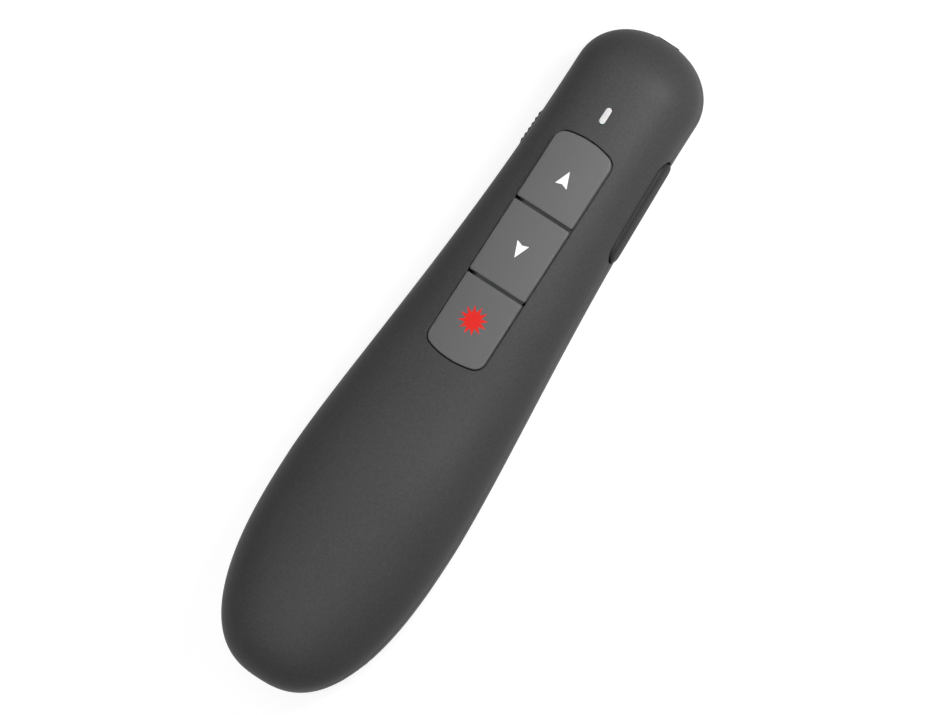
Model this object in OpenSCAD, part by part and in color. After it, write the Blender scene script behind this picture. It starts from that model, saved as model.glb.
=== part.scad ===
// Wireless presentation clicker: a hand-held slide remote with a laser pointer.
// +Y runs along the handle towards the laser end, +X is the right hand side and +Z is up out of
// the key face. The origin lies on the desk, under the middle of the body.

/* [Body] */
// Length over all, from the tail to the laser end
body_length = 127; // [120:0.5:140]
// Greatest width, across the belly that sits in the palm
belly_width = 32.7; // [31:0.1:38]
// Width of the neck that carries the keys
neck_width = 22.9; // [22:0.1:26]
// Height of the belly's top above the desk
belly_height = 22.8; // [21.5:0.1:26]
// Height of the neck's top above the desk
neck_height = 20.4; // [20:0.1:22]
// Height of the plane where the two shells meet
parting_height = 10.6; // [10.2:0.1:11.2]
// Rise of the underside below the head, above the desk
neck_lift = 1.6; // [0.5:0.1:2.4]
// Wall thickness of the shells at the parting plane
wall = 2; // [1.6:0.1:2.2]
// Distance from the tail to the widest place
belly_from_tail = 35; // [30:0.5:40]
// Length of the rounding at the tail, seen from above
tail_round = 34.4; // [30:0.2:38]
// Length of the rounding at the laser end, seen from above
head_round = 9.6; // [8:0.1:12]

/* [Keys] */
// Distance from the laser end to the tip of the key pad
pad_from_head = 21.2; // [20.5:0.1:23]
// Length of the three keys together, over their curved ends
pad_length = 43.4; // [42:0.1:45]
// Width of the keys
pad_width = 11.26; // [10.5:0.02:12.4]
// Radius of the curve at each end of the pad
pad_end_radius = 15.1; // [12:0.1:30]
// Radius of the pad's four corners
pad_corner_radius = 1.2; // [0.6:0.1:2]
// Distance between the two splits that part the keys
key_pitch = 14.6; // [13.5:0.1:15.5]
// Width of the split between two keys
key_split = 0.54; // [0.4:0.02:1]
// Gap between the keys and the upper shell
key_gap = 0.2; // [0.15:0.01:0.3]
// How far the keys stand above the neck along the middle
key_proud = 0.25; // [0.1:0.05:0.6]
// Radius of the crown across the keys
key_crown_radius = 50; // [30:1:90]
// How far a key travels when it is pressed
key_travel = 0.4; // [0.2:0.05:0.5]

/* [Side controls] */
// Length of the rocker on the right flank
rocker_length = 19; // [16:0.1:20]
// Height of the rocker
rocker_height = 5.2; // [4.6:0.1:6]
// Distance from the laser end to the middle of the rocker
rocker_from_head = 26.7; // [26:0.1:28]
// How far the rocker stands out of the flank
rocker_proud = 0.65; // [0.2:0.05:1]
// Length of the ribbed power slider on the left flank
slider_length = 6.8; // [5:0.1:7.6]
// Height of the power slider
slider_height = 3.4; // [2.8:0.1:4]
// Distance from the laser end to the middle of the power slider
slider_from_head = 24.3; // [23:0.1:25]
// How far the slider's ribs stand out of the flank
slider_proud = 0.3; // [0.1:0.05:0.4]
// How far the slider moves from off to on
slider_travel = 2.5; // [1.5:0.1:2.6]
// Distance from one rib of the slider to the next
rib_pitch = 1.05; // [0.8:0.05:1.4]

/* [Light and laser] */
// Length of the status light's window
light_length = 3.06; // [2.4:0.02:4]
// Width of the status light's window
light_width = 1.1; // [1:0.01:2]
// Distance from the laser end to the middle of the status light
light_from_head = 16.2; // [15.6:0.05:16.8]
// Radius of the laser's barrel
barrel_radius = 2.8; // [2.5:0.05:2.9]
// Length of the laser's barrel
barrel_length = 12; // [10:0.1:12.5]
// Radius of the hole that the beam leaves by
beam_radius = 1.5; // [1:0.05:2]

/* [Batteries] */
// Diameter of an AAA cell
cell_diameter = 10.5; // [10:0.1:10.6]
// Length of an AAA cell over its button
cell_length = 44.5; // [43.5:0.1:45]
// Distance between the middles of the two cells
cell_pitch = 11.2; // [11:0.1:11.6]
// Width of the cover over the cells
cover_width = 24.8; // [23:0.1:26]
// Distance from the tail to the inside of the battery bay
bay_from_tail = 10.7; // [10.2:0.1:11.5]

/* [Receiver] */
// Width of the receiver's grip, across the handle
grip_width = 14.6; // [13.4:0.1:15]
// Length of the receiver's grip, along the handle
grip_length = 6.4; // [5:0.1:7]
// Thickness of the receiver's grip
grip_thickness = 6; // [5.4:0.1:6.2]
// Distance from the laser end to the back of the dock
dock_from_head = 55.3; // [54.8:0.1:56.5]

/* [Hidden] */

$fn = 48;
far = 200;
clear = 0.25;
rocker_swing = 0.3;

// Loft: stations along the handle and points round each half section
stations = 40;
half_steps = 18;
half_length = body_length / 2;
seam_gap = 0.08;
lip_height = 0.9;
lip_inset = 0.9;
lip_thickness = 1;
lip_gap = 0.1;
flat_depth = 0.35;
tail_power = 2.55;
head_power = 2.08;
keel_round = 26;
keel_power = 2.6;
waist_power = 0.76;
waist_end_from_head = 11.2;
crown_power = 2.3;
belly_power = 2.6;
lift_start_y = 30;
lift_length = 24;

// Places along the handle
pad_head_y = half_length - pad_from_head;
pad_tail_y = pad_head_y - pad_length;
split_head_y = pad_head_y - (pad_length - key_pitch) / 2;
split_tail_y = split_head_y - key_pitch;
key_y = [(pad_head_y + split_head_y) / 2, (split_head_y + split_tail_y) / 2, (split_tail_y + pad_tail_y) / 2];
belly_y = belly_from_tail - half_length;
light_y = half_length - light_from_head;
rocker_y = half_length - rocker_from_head;
slider_y = half_length - slider_from_head;

// Keys and what they press
key_top = neck_height + key_proud;
key_wall = 1.2;
key_roof = 1.4;
key_edge = 0.3;
key_corner_radius = 0.35;
key_flange_depth = 3.1;
flange_reach = 1.1;
flange_top = neck_height - key_flange_depth;
flange_thickness = 0.8;
flange_bottom = flange_top - flange_thickness;
land_gap = 0.3;
land_height = flange_top + land_gap;
press_gap = 0.2;
stem_radius = 1.5;
switch_size = 6;
switch_height = 1.5;
button_radius = 1.7;
running_fit = 0.05;
button_rise = 0.7;
button_depth = 1;

// Circuit board
board_thickness = 1;
board_top = flange_bottom - key_travel - press_gap;
board_bottom = board_top - board_thickness;
button_top = board_top + switch_height + button_rise;
board_width = 14;
board_margin = 1.6;
board_nose_width = 7.2;
board_front_y = light_y + light_length / 2 + 0.23;
board_shoulder_y = light_y - light_length / 2 + 0.32;
chip_size = 5;
chip_height = 0.9;
radio_size = 3;
radio_height = 0.75;
crystal_radius = 1.2;
crystal_height = 1.1;
led_size = [1.6, 2, 0.5];
led_dome_radius = 0.6;
led_dome_top = 0.8;
pipe_gap = 0.02;
pipe_foot = 0.5;
pipe_foot_thickness = 0.8;
pipe_rise = 0.05;
pipe_bottom = board_top + led_dome_top + press_gap;

// Screws and their bosses
boss_radius = 1.95;
boss_foot_radius = 2.6;
boss_inset = [0.4, 1.1];
screw_radius = 0.95;
screw_head_radius = 1.75;
screw_head_height = 1.3;
screw_length = 9;
screw_sink = 0.4;
screw_gap = 0.15;
press_fit = 0.02;
boss_from_head = 12.9;
boss_from_tab = 2.7;

// Batteries, tray and cover
cell_radius = cell_diameter / 2;
cell_floor = 3.2;
cell_z = cell_radius + cell_floor;
plate = 0.3;
contact_half = 3.4;
spring_length = 3.4;
spring_wire = 0.5;
spring_turns = 3;
spring_taper = 1.4;
button_height = 0.8;
cell_button_radius = 1.9;
bay_tail_y = bay_from_tail - half_length;
bay_length = cell_length + spring_length + 2 * plate + 0.1;
bay_head_y = bay_tail_y + bay_length;
tray_wall = 1;
tray_roof = 0.8;
tray_half_width = cell_pitch / 2 + cell_radius + clear + tray_wall;
tray_ceiling_z = cell_z + cell_radius + clear;
tab_y = bay_head_y + 2 * tray_wall + 1;
board_back_y = min(pad_tail_y, tab_y + 0.2) - board_margin;
boss_y = [tab_y + boss_from_tab, half_length - boss_from_head];
cover_front_y = bay_head_y + tray_wall + 0.4;
cover_side_z = 4;
cover_wrap_y = bay_tail_y + 2;
cover_top_z = 8;
tray_bottom_z = cover_side_z + 0.3;
hook_z = 5.4;
hook_thickness = 0.8;
hook_width = 6.8;
hook_reach = 1.1;
catch_width = 10;
tongue_width = 6;
tongue_z = 1.75;
tongue_thickness = 0.9;
tongue_reach = 2.2;
groove_count = 5;
groove_pitch = 1.8;
groove_radius = 0.7;
groove_depth = 0.4;
tab_x = 5;
tab_half = 1.2;
tab_z = 8.8;

// Receiver dock
dock_back_y = half_length - dock_from_head;
grip_bottom_z = 1;
plug_width = 12;
plug_length = 12;
plug_thickness = 4.5;
dock_wall = 1;
dock_top_z = grip_bottom_z + grip_thickness + 0.4;
scoop_radius = 4;
scoop_drop = 1.5;
scoop_width = 9;
post_x = 4.2;
post_radius = 1.3;

// Laser
barrel_drop = 0.6;
barrel_z = parting_height - barrel_drop;
barrel_front_y = half_length - wall - 1.3;
barrel_back_y = barrel_front_y - barrel_length;
saddle_reach = 2.4;
saddle_thickness = 1.2;
window_thickness = 0.6;
ring_wall = 0.7;
ring_radius = beam_radius + ring_wall;
ring_length = 1.6;
lip_nose_half = ring_radius + 0.6;

// ---- Outline of the body ---------------------------------------------------------------------

// 1 up to t = 0, then a smooth fall to 0 at t = 1
function fade(t) = t <= 0 ? 1 : t >= 1 ? 0 : (1 + cos(180 * t)) / 2;

// Superellipse end: 0 at distance 0, 1 from the distance len onwards
function round_end(d, len, power) = d >= len ? 1 : pow(1 - pow(1 - max(d, 0) / len, power), 1 / power);

function from_tail(y) = y + half_length;
function from_head(y) = half_length - y;
function head_end(y) = round_end(from_head(y), head_round, head_power);
function tail_end(y) = round_end(from_tail(y), tail_round, tail_power);

// Half width of the body at the parting plane
function waist(y) = fade(pow(max(0, y - belly_y) / (half_length - waist_end_from_head - belly_y), waist_power));
function half_width(y) = (neck_width + (belly_width - neck_width) * waist(y)) / 2 * tail_end(y) * head_end(y);

// Rise of the top above the parting plane, and drop of the underside below it
function top_rise(y) =
    (neck_height - parting_height + (belly_height - neck_height) * fade((y - belly_y) / (pad_tail_y - belly_y)))
    * tail_end(y) * head_end(y);
function keel_drop(y) =
    (parting_height + flat_depth - neck_lift * (1 - fade((y - lift_start_y) / lift_length)))
    * round_end(from_tail(y), keel_round, keel_power) * head_end(y);

// Point of the section at y, at an angle from +X; scale 1 is the outer skin
function signed_pow(v, p) = sign(v) * pow(abs(v), p);
function section_point(y, place_y, angle, scale) =
    let (power = sin(angle) >= 0 ? crown_power : belly_power,
         height = sin(angle) >= 0 ? top_rise(y) : keel_drop(y))
    [scale * half_width(y) * signed_pow(cos(angle), 2 / power),
     place_y,
     parting_height + scale * height * signed_pow(sin(angle), 2 / power)];

// Height of the underside at a place in plan
function underside_z(x, y) = parting_height
    - keel_drop(y) * pow(1 - pow(min(abs(x) / half_width(y), 1), belly_power), 1 / belly_power);

// Stations crowd together towards both ends, where the outline turns fastest
function station(i) = -half_length * cos(180 * i / stations);

// The inner skin lies one wall in from the outer one, square to the outline seen from above
function outline_step(i) = let (a = station(i - 1), b = station(i + 1)) [half_width(b) - half_width(a), b - a];
function inner_y(i) = i == 0 ? wall - half_length : i == stations ? half_length - wall
    : let (d = outline_step(i)) station(i) + wall * d.x / norm(d);
function inner_scale(i) = let (d = outline_step(i)) max(0.05, 1 - wall * d.y / norm(d) / half_width(station(i)));

function skin_points(side, inner) = concat(
    [for (i = [1 : stations - 1], j = [0 : half_steps])
        section_point(station(i), inner ? inner_y(i) : station(i), side * 180 * j / half_steps,
            inner ? inner_scale(i) : 1)],
    [[0, inner ? inner_y(0) : -half_length, parting_height],
     [0, inner ? inner_y(stations) : half_length, parting_height]]);

row = half_steps + 1;
ring_points = (stations - 1) * row;
skin_size = ring_points + 2;
function at(skin, i, j) = skin * skin_size
    + (i == 0 ? ring_points : i == stations ? ring_points + 1 : (i - 1) * row + j);
function flipped(faces) = [for (f = faces) [for (k = [len(f) - 1 : -1 : 0]) f[k]]];
function quad(a, b, c, d) = [[a, b, c], [a, c, d]];
function skin_faces(skin) = concat(
    [for (j = [0 : half_steps - 1]) [at(skin, 0, 0), at(skin, 1, j), at(skin, 1, j + 1)]],
    [for (i = [1 : stations - 2], j = [0 : half_steps - 1])
        each quad(at(skin, i, j), at(skin, i + 1, j), at(skin, i + 1, j + 1), at(skin, i, j + 1))],
    [for (j = [0 : half_steps - 1])
        [at(skin, stations, 0), at(skin, stations - 1, j + 1), at(skin, stations - 1, j)]]);
function rim_faces() = concat(
    [for (i = [0 : stations - 1]) each quad(at(1, i, 0), at(1, i + 1, 0), at(0, i + 1, 0), at(0, i, 0))],
    [for (i = [0 : stations - 1])
        each quad(at(0, i, half_steps), at(0, i + 1, half_steps), at(1, i + 1, half_steps), at(1, i, half_steps))]);

// One half of the hollow body: side 1 is the upper half, side -1 the lower half
module half_shell(side) {
    faces = concat(skin_faces(0), flipped(skin_faces(1)), rim_faces());
    translate([0, 0, side * seam_gap / 2])
        polyhedron(concat(skin_points(side, false), skin_points(side, true)),
            side > 0 ? flipped(faces) : faces, convexity = 6);
}

// Outline of the body at the parting plane, moved in by an inset; its corners lie between stations
function plan_points(inset) =
    [for (side = [1, -1], k = [0 : stations - 1])
        let (i = stations / 2 + side * (k + 0.5 - stations / 2), d = outline_step(i))
        [side * (half_width(station(i)) - inset * d.y / norm(d)), station(i) + inset * d.x / norm(d)]];

// Band that follows the outline, for the lap lip of the lower shell and its rebate in the upper one;
// it stops short of the laser's hole by nose_half on each side
module lap_band(inset, thickness, height, nose_half) {
    nose_y = barrel_front_y - wall;
    translate([0, 0, parting_height - lip_thickness / 4]) linear_extrude(height + lip_thickness / 4)
        difference() {
            polygon(plan_points(inset));
            polygon(plan_points(inset + thickness));
            polygon([[-nose_half, nose_y], [nose_half, nose_y], [nose_half, half_length], [-nose_half, half_length]]);
        }
}

// Solid skinned through rings of equally many points; flip turns its faces for rings that run away
module skinned(rings, flip = false) {
    n = len(rings[0]);
    last = (len(rings) - 1) * n;
    faces = concat(
        [[for (j = [0 : n - 1]) j]],
        [for (i = [0 : len(rings) - 2], j = [0 : n - 1])
            let (a = i * n + j, b = i * n + (j + 1) % n)
            each quad(a, a + n, b + n, b)],
        [[for (j = [n - 1 : -1 : 0]) last + j]]);
    polyhedron([for (ring = rings) each ring], flip ? flipped(faces) : faces, convexity = 8);
}

// Solid slice of the body between two stations, with its skin moved in by an inset
module body_slice(y0, y1, inset, steps = 10, round = 36) {
    rings = [for (i = [0 : steps])
        let (y = y0 + (y1 - y0) * i / steps)
        [for (j = [0 : round - 1]) section_point(y, y, 360 * j / round, 1 - inset / half_width(y))]];
    skinned(rings, flip = true);
}

// ---- Outlines of the keys --------------------------------------------------------------------

// Points on an arc; dir -1 mirrors it towards the tail
function arc(cx, cy, r, a0, a1, dir, n) =
    [for (k = [0 : n]) let (a = a0 + (a1 - a0) * k / n) [cx + r * cos(a), cy + dir * r * sin(a)]];
function reversed(list) = [for (i = [len(list) - 1 : -1 : 0]) list[i]];

// Curved end of the pad, from +X to -X; dir 1 is the head end, -1 the tail end
function pad_end(dir, grow) =
    let (r = max(pad_corner_radius + grow, 0.05),
         big = pad_end_radius + grow,
         cx = pad_width / 2 + grow - r,
         rise = sqrt(pow(big - r, 2) - cx * cx),
         big_y = (dir > 0 ? pad_head_y : pad_tail_y) - dir * pad_end_radius,
         turn = atan2(rise, cx))
    concat(arc(cx, big_y + dir * rise, r, 0, turn, dir, 4),
        arc(0, big_y, big, turn, 180 - turn, dir, 10),
        arc(-cx, big_y + dir * rise, r, 180 - turn, 180, dir, 4));

// End of a key at a split, with small corners; grow moves the sides and along the end itself
function split_end(y, dir, grow, along) =
    let (r = max(key_corner_radius + min(grow, along), 0.05),
         cx = pad_width / 2 + grow - r,
         cy = y + dir * (along - r))
    concat(arc(cx, cy, r, 0, 90, dir, 3), arc(-cx, cy, r, 90, 180, dir, 3));
function pad_points(grow) = concat(pad_end(1, grow), reversed(pad_end(-1, grow)));

// Outline of one key: index 0 is nearest the laser end
function key_head_edge(index, grow, along) = index == 0 ? pad_end(1, grow)
    : split_end((index == 1 ? split_head_y : split_tail_y) - key_split / 2, 1, grow, along);
function key_tail_edge(index, grow, along) = index == 2 ? pad_end(-1, grow)
    : split_end((index == 0 ? split_head_y : split_tail_y) + key_split / 2, -1, grow, along);
function key_points(index, grow, along) =
    concat(key_head_edge(index, grow, along), reversed(key_tail_edge(index, grow, along)));

// Rounded edge of a cap: pairs of inset and height against its crown
function rounding(edge) =
    [[0, -edge], [0.134 * edge, -0.5 * edge], [0.5 * edge, -0.134 * edge], [1.2 * edge, 0.05]];
function at_height(points, z) = [for (p = points) [p.x, p.y, z]];

module slab(points, z0, z1) {
    translate([0, 0, z0]) linear_extrude(z1 - z0) polygon(points);
}

// Cylinder along Y from y0 to y1
module rod_y(x, z, radius, y0, y1) {
    translate([x, y0, z]) rotate([-90, 0, 0]) cylinder(r = radius, h = y1 - y0);
}

// Box from its lowest to its highest corner
module box(low, high) {
    translate(low) cube(high - low);
}

// Flat bar with round ends along Y, lying in the YZ plane, from x0 to x1
module side_pill(x0, x1, y, z, length, height) {
    for (end = [-1, 1])
        translate([x0, y + end * (length - height) / 2, z]) rotate([0, 90, 0]) cylinder(d = height, h = x1 - x0);
    box([x0, y - (length - height) / 2, z - height / 2], [x1, y + (length - height) / 2, z + height / 2]);
}

// Screw bosses: place in plan, and the height of the shoulder under the screw's head
BOSSES = [for (i = [0, 1], side = [-1, 1])
    let (x = half_width(boss_y[i]) - wall - boss_radius - boss_inset[i])
    [side * x, boss_y[i], underside_z(x + screw_head_radius, boss_y[i]) + screw_sink + screw_head_height]];

// ---- Openings shared by both shells ----------------------------------------------------------

module rocker_window() {
    side_pill(neck_width / 4, belly_width, rocker_y, parting_height,
        rocker_length + 2 * clear + rocker_swing, rocker_height + 2 * clear);
}

module slider_window() {
    box([-belly_width, slider_y - slider_length / 2 - clear, parting_height - slider_height / 2 - clear],
        [-neck_width / 4, slider_y + slider_length / 2 + slider_travel + clear,
         parting_height + slider_height / 2 + clear]);
}

module beam_hole() {
    rod_y(0, barrel_z, beam_radius, barrel_front_y, far);
    rod_y(0, barrel_z, ring_radius + press_fit, half_length - ring_length, far);
}

// ---- Shells ----------------------------------------------------------------------------------

module upper_shell() {
    color("#3a3b3d") difference() {
        union() {
            half_shell(1);
            for (i = [0, 1]) intersection() {
                for (k = [0, 1]) translate([BOSSES[2 * i + k].x, boss_y[i], parting_height + seam_gap / 2])
                    cylinder(r = boss_radius, h = neck_height);
                body_slice(boss_y[i] - 1.5 * boss_radius, boss_y[i] + 1.5 * boss_radius, wall / 2, 3);
            }
        }
        lap_band(lip_inset - lip_gap, lip_thickness + 3 * lip_gap, lip_height + lip_gap, lip_nose_half - lip_gap);
        slab(pad_points(key_gap), parting_height, far);
        slab(pad_points(flange_reach + clear), parting_height, land_height);
        light_slot(light_width, light_length, parting_height, far);
        rocker_window();
        slider_window();
        beam_hole();
        for (b = BOSSES)
            translate([b.x, b.y, 0]) cylinder(r = screw_radius + press_fit, h = b.z + screw_length + 2 * clear);
    }
}

module light_slot(width, length, z0, z1) {
    for (end = [-1, 1])
        translate([0, light_y + end * (length - width) / 2, z0]) cylinder(d = width, h = z1 - z0);
    box([-width / 2, light_y - (length - width) / 2, z0], [width / 2, light_y + (length - width) / 2, z1]);
}

// The cover's edge runs low along the sides and climbs round the tail
module cover_region(gap) {
    half = cover_width / 2 - gap;
    box([-half, -far, -far], [half, cover_front_y - gap, cover_side_z - gap]);
    box([-half, -far, -far], [half, cover_wrap_y - gap, cover_top_z - gap]);
}

// Room for the receiver: a wide pocket for the grip and a narrower one for the plug
module dock_pocket(grow, z0) {
    plug_y = dock_back_y + clear + grip_length;
    box([-grip_width / 2 - clear - grow, dock_back_y - grow, z0],
        [grip_width / 2 + clear + grow, plug_y + clear + grow, dock_top_z + grow]);
    box([-plug_width / 2 - clear - grow, plug_y - grow, z0],
        [plug_width / 2 + clear + grow, plug_y + plug_length + clear + grow, dock_top_z + grow]);
}

// Dished place for a fingertip behind the receiver
module finger_scoop(grow) {
    translate([0, dock_back_y, -scoop_drop]) rotate([0, 90, 0])
        cylinder(r = scoop_radius + grow, h = scoop_width + 2 * grow, center = true);
}

module lower_ribs() {
    for (b = BOSSES) translate([b.x, b.y, 0]) {
        cylinder(r = boss_radius, h = parting_height - seam_gap / 2);
        cylinder(r = boss_foot_radius, h = b.z + 0.8);
    }
    dock_pocket(dock_wall, 0);
    finger_scoop(dock_wall);
    for (side = [-1, 1])
        translate([side * post_x, dock_back_y + plug_length + 2, dock_top_z])
            cylinder(r = post_radius, h = board_bottom - dock_top_z);
    for (y = [barrel_back_y, barrel_front_y] + [1, -1] * barrel_length / 4)
        box([-barrel_radius - saddle_reach, y - saddle_thickness / 2, 0],
            [barrel_radius + saddle_reach, y + saddle_thickness / 2, barrel_z]);
}

module lower_shell() {
    color("#343537") difference() {
        union() {
            half_shell(-1);
            lap_band(lip_inset, lip_thickness, lip_height, lip_nose_half);
            intersection() {
                lower_ribs();
                body_slice(board_back_y, half_length - 3, wall / 2);
            }
        }
        box([-far, -far, -far], [far, far, 0]);
        cover_region(0);
        dock_pocket(0, -1);
        finger_scoop(0);
        rocker_window();
        slider_window();
        beam_hole();
        rod_y(0, barrel_z, barrel_radius + running_fit, barrel_back_y - 1, barrel_front_y + 0.1);
        for (b = BOSSES) translate([b.x, b.y, -1]) {
            cylinder(r = screw_radius + screw_gap, h = parting_height + 2);
            cylinder(r = screw_head_radius + screw_gap, h = b.z + 1);
        }
    }
}

module battery_cover() {
    tongue_root = cover_front_y - 2 * tongue_reach;
    color("#343537") difference() {
        union() {
            intersection() {
                half_shell(-1);
                cover_region(clear);
            }
            box([-tongue_width / 2, tongue_root, tongue_z - tongue_thickness],
                [tongue_width / 2, cover_front_y - clear, tongue_z + tongue_thickness]);
            box([-tongue_width / 2, tongue_root, tongue_z],
                [tongue_width / 2, cover_front_y + tongue_reach, tongue_z + tongue_thickness]);
            box([-hook_width / 2, wall - half_length, hook_z],
                [hook_width / 2, bay_tail_y - tray_wall - clear, hook_z + hook_thickness]);
        }
        box([-far, -far, -far], [far, far, 0]);
        for (k = [0 : groove_count - 1])
            translate([0, belly_y - groove_count * groove_pitch + k * groove_pitch, groove_depth - groove_radius])
                rotate([0, 90, 0]) cylinder(r = groove_radius, h = scoop_width, center = true);
    }
}

// ---- Keys and what they press ----------------------------------------------------------------

// Height of the crown across the keys
function crown_z(x) = key_top - key_crown_radius + sqrt(pow(key_crown_radius, 2) - x * x);

module key_blank(index) {
    skinned(concat(
        [at_height(key_points(index, 0, 0), flange_bottom)],
        [for (e = rounding(key_edge))
            [for (p = key_points(index, -e[0], -e[0])) [p.x, p.y, crown_z(p.x) + e[1]]]],
        [at_height(key_points(index, -1.2 * key_edge, -1.2 * key_edge), key_top + 1)]));
}

module key_cap(index) {
    stem_top = key_top - key_roof + 0.2;
    color("#6b6b6d") {
        difference() {
            union() {
                intersection() {
                    key_blank(index);
                    rod_y(0, key_top - key_crown_radius, key_crown_radius, -far, far, $fn = 720);
                }
                slab(key_points(index, flange_reach, 0), flange_bottom, flange_top);
            }
            slab(key_points(index, -key_wall, -key_wall), flange_bottom - 1, key_top - key_roof);
        }
        translate([0, key_y[index], button_top]) cylinder(r = stem_radius, h = stem_top - button_top);
    }
}

module key_forward() key_cap(0);
module key_back() key_cap(1);
module key_laser() key_cap(2);

module key_switch(index) {
    well = button_depth + key_travel + running_fit;
    color("#26272a") translate([0, key_y[index], board_top]) difference() {
        translate([-switch_size / 2, -switch_size / 2, 0]) cube([switch_size, switch_size, switch_height]);
        translate([0, 0, switch_height - well]) cylinder(r = button_radius + running_fit, h = 2 * well);
    }
}

module key_button(index) {
    color("#b8b4a8") translate([0, key_y[index], board_top + switch_height - button_depth])
        cylinder(r = button_radius, h = button_depth + button_rise);
}

module switch_forward() key_switch(0);
module switch_back() key_switch(1);
module switch_laser() key_switch(2);
module button_forward() key_button(0);
module button_back() key_button(1);
module button_laser() key_button(2);

// ---- Circuit board ---------------------------------------------------------------------------

module circuit_board() {
    hole_radius = 0.8;
    color("#1f5a34") difference() {
        union() {
            box([-board_width / 2, board_back_y, board_bottom], [board_width / 2, board_shoulder_y, board_top]);
            box([-board_nose_width / 2, board_shoulder_y - 1, board_bottom],
                [board_nose_width / 2, board_front_y, board_top]);
        }
        translate([board_width / 2 - 2 * hole_radius, split_tail_y, 0]) cylinder(r = hole_radius, h = far);
    }
}

// Chip under the board
module chip(x, y, size, height) {
    color("#1b1b1d") translate([x - size / 2, y - size / 2, board_bottom - height]) cube([size, size, height]);
}

module controller_chip() chip(0, tab_y + chip_size / 2 + 0.6, chip_size, chip_height);
module radio_chip() chip(-chip_size + 0.8, tab_y + chip_size + radio_size + 0.2, radio_size, radio_height);

module crystal() {
    color("silver")
        translate([chip_size - 1, tab_y + chip_size + radio_size + 0.2, board_bottom - crystal_height])
            cylinder(r = crystal_radius, h = crystal_height);
}

module status_led() {
    color("#f0efe6") translate([0, light_y, board_top]) {
        translate([-led_size.x / 2, -led_size.y / 2, 0]) cube(led_size);
        cylinder(r = led_dome_radius, h = led_dome_top);
    }
}

module light_pipe() {
    top = neck_height + pipe_rise;
    color("#d2d2d0") {
        intersection() {
            light_slot(light_width - 2 * pipe_gap, light_length - 2 * pipe_gap, pipe_bottom, top);
            rod_y(0, top - neck_width / 2, neck_width / 2, -far, far);
        }
        light_slot(light_width + 2 * pipe_foot, light_length + 2 * pipe_foot,
            pipe_bottom, pipe_bottom + pipe_foot_thickness);
    }
}

// ---- Power slider on the left flank ----------------------------------------------------------

slider_face_x = half_width(slider_y) + slider_proud;
shield_x = half_width(slider_y) - wall - 0.95;
shield_thickness = 0.7;
shield_overlap = 0.6;
rib_radius = 0.32;
lever_z = board_bottom - 1.2;
lever_half = 0.7;
lever_height = 1;
lever_gap = 0.1;
fork_thickness = 1;
switch_depth = 2.4;
switch_width = 3.2;

module power_slider() {
    rib_count = floor((slider_length - 2 * rib_radius) / rib_pitch) + 1;
    shield_half = slider_length / 2 + slider_travel + clear;
    low_z = parting_height - slider_height / 2;
    high_z = parting_height + slider_height / 2;
    color("#2d2e30") {
        box([-slider_face_x + rib_radius, slider_y - slider_length / 2, low_z],
            [-shield_x, slider_y + slider_length / 2, high_z]);
        for (k = [0 : rib_count - 1])
            let (y = slider_y + (k - (rib_count - 1) / 2) * rib_pitch)
                translate([rib_radius - half_width(y) - slider_proud, y, low_z])
                    cylinder(r = rib_radius, h = slider_height);
        box([-shield_x - 0.01, slider_y - shield_half, low_z - shield_overlap],
            [-shield_x + shield_thickness, slider_y + shield_half, high_z + shield_overlap]);
        for (side = [-1, 1])
            translate([-shield_x, slider_y + side * (lever_half + lever_gap + fork_thickness / 2), 0])
                box([shield_thickness / 2, -fork_thickness / 2, parting_height + 1],
                    [shield_thickness + 1, fork_thickness / 2, lever_z + lever_height / 2]);
    }
}

module power_switch() {
    mid_y = slider_y + slider_travel / 2;
    back_x = -shield_x + 2;
    color("silver") difference() {
        box([back_x, mid_y - 4, board_bottom - switch_depth], [back_x + switch_width, mid_y + 4, board_bottom]);
        box([back_x - 1, slider_y - lever_half - lever_gap, lever_z - lever_height / 2 - lever_gap],
            [back_x + 1.5, slider_y + lever_half + lever_gap + slider_travel,
             lever_z + lever_height / 2 + lever_gap]);
    }
}

module power_lever() {
    color("#e8e6df")
        box([-shield_x + shield_thickness + lever_gap, slider_y - lever_half, lever_z - lever_height / 2],
            [-shield_x + 3.5 - 2 * lever_gap, slider_y + lever_half, lever_z + lever_height / 2]);
}

// ---- Rocker on the right flank ---------------------------------------------------------------

rocker_face_x = half_width(rocker_y) + rocker_proud;
rocker_turn =
    atan((half_width(rocker_y - rocker_length / 2) - half_width(rocker_y + rocker_length / 2)) / rocker_length);
rocker_crown_radius = 11;
rocker_edge = 0.5;
rocker_back_x = half_width(rocker_y) - wall - 0.6;
rocker_pin_x = rocker_back_x - 1.6;
rocker_pin_radius = 0.75;
rocker_reach = rocker_length * 0.32;
lug_radius = 1.7;
lug_height = 3.2;
lug_gap = 0.2;
ear_thickness = 0.9;
ear_low_z = parting_height - lug_height / 2 - lug_gap - ear_thickness;
ear_high_z = parting_height + lug_height / 2 + lug_gap;
pad_z = parting_height + 0.8;
pad_half = 0.8;
plunger_radius = 0.7;
plunger_length = 0.8;
plunger_gap = 0.35;
side_switch = [3.4, 4, 1.2];

// Outline of the rocker's cap in its own plane, grown or shrunk all round
function pill_points(length, height, grow) =
    let (c = (length - height) / 2, r = height / 2 + grow)
    concat(arc(c, 0, r, -90, 90, 1, 10), arc(-c, 0, r, 90, 270, 1, 10));

// Distance of the crowned and slightly turned face from the middle of the body
function rocker_crown(along, up) =
    rocker_face_x - rocker_crown_radius + sqrt(pow(rocker_crown_radius, 2) - up * up) - along * tan(rocker_turn);

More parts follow.
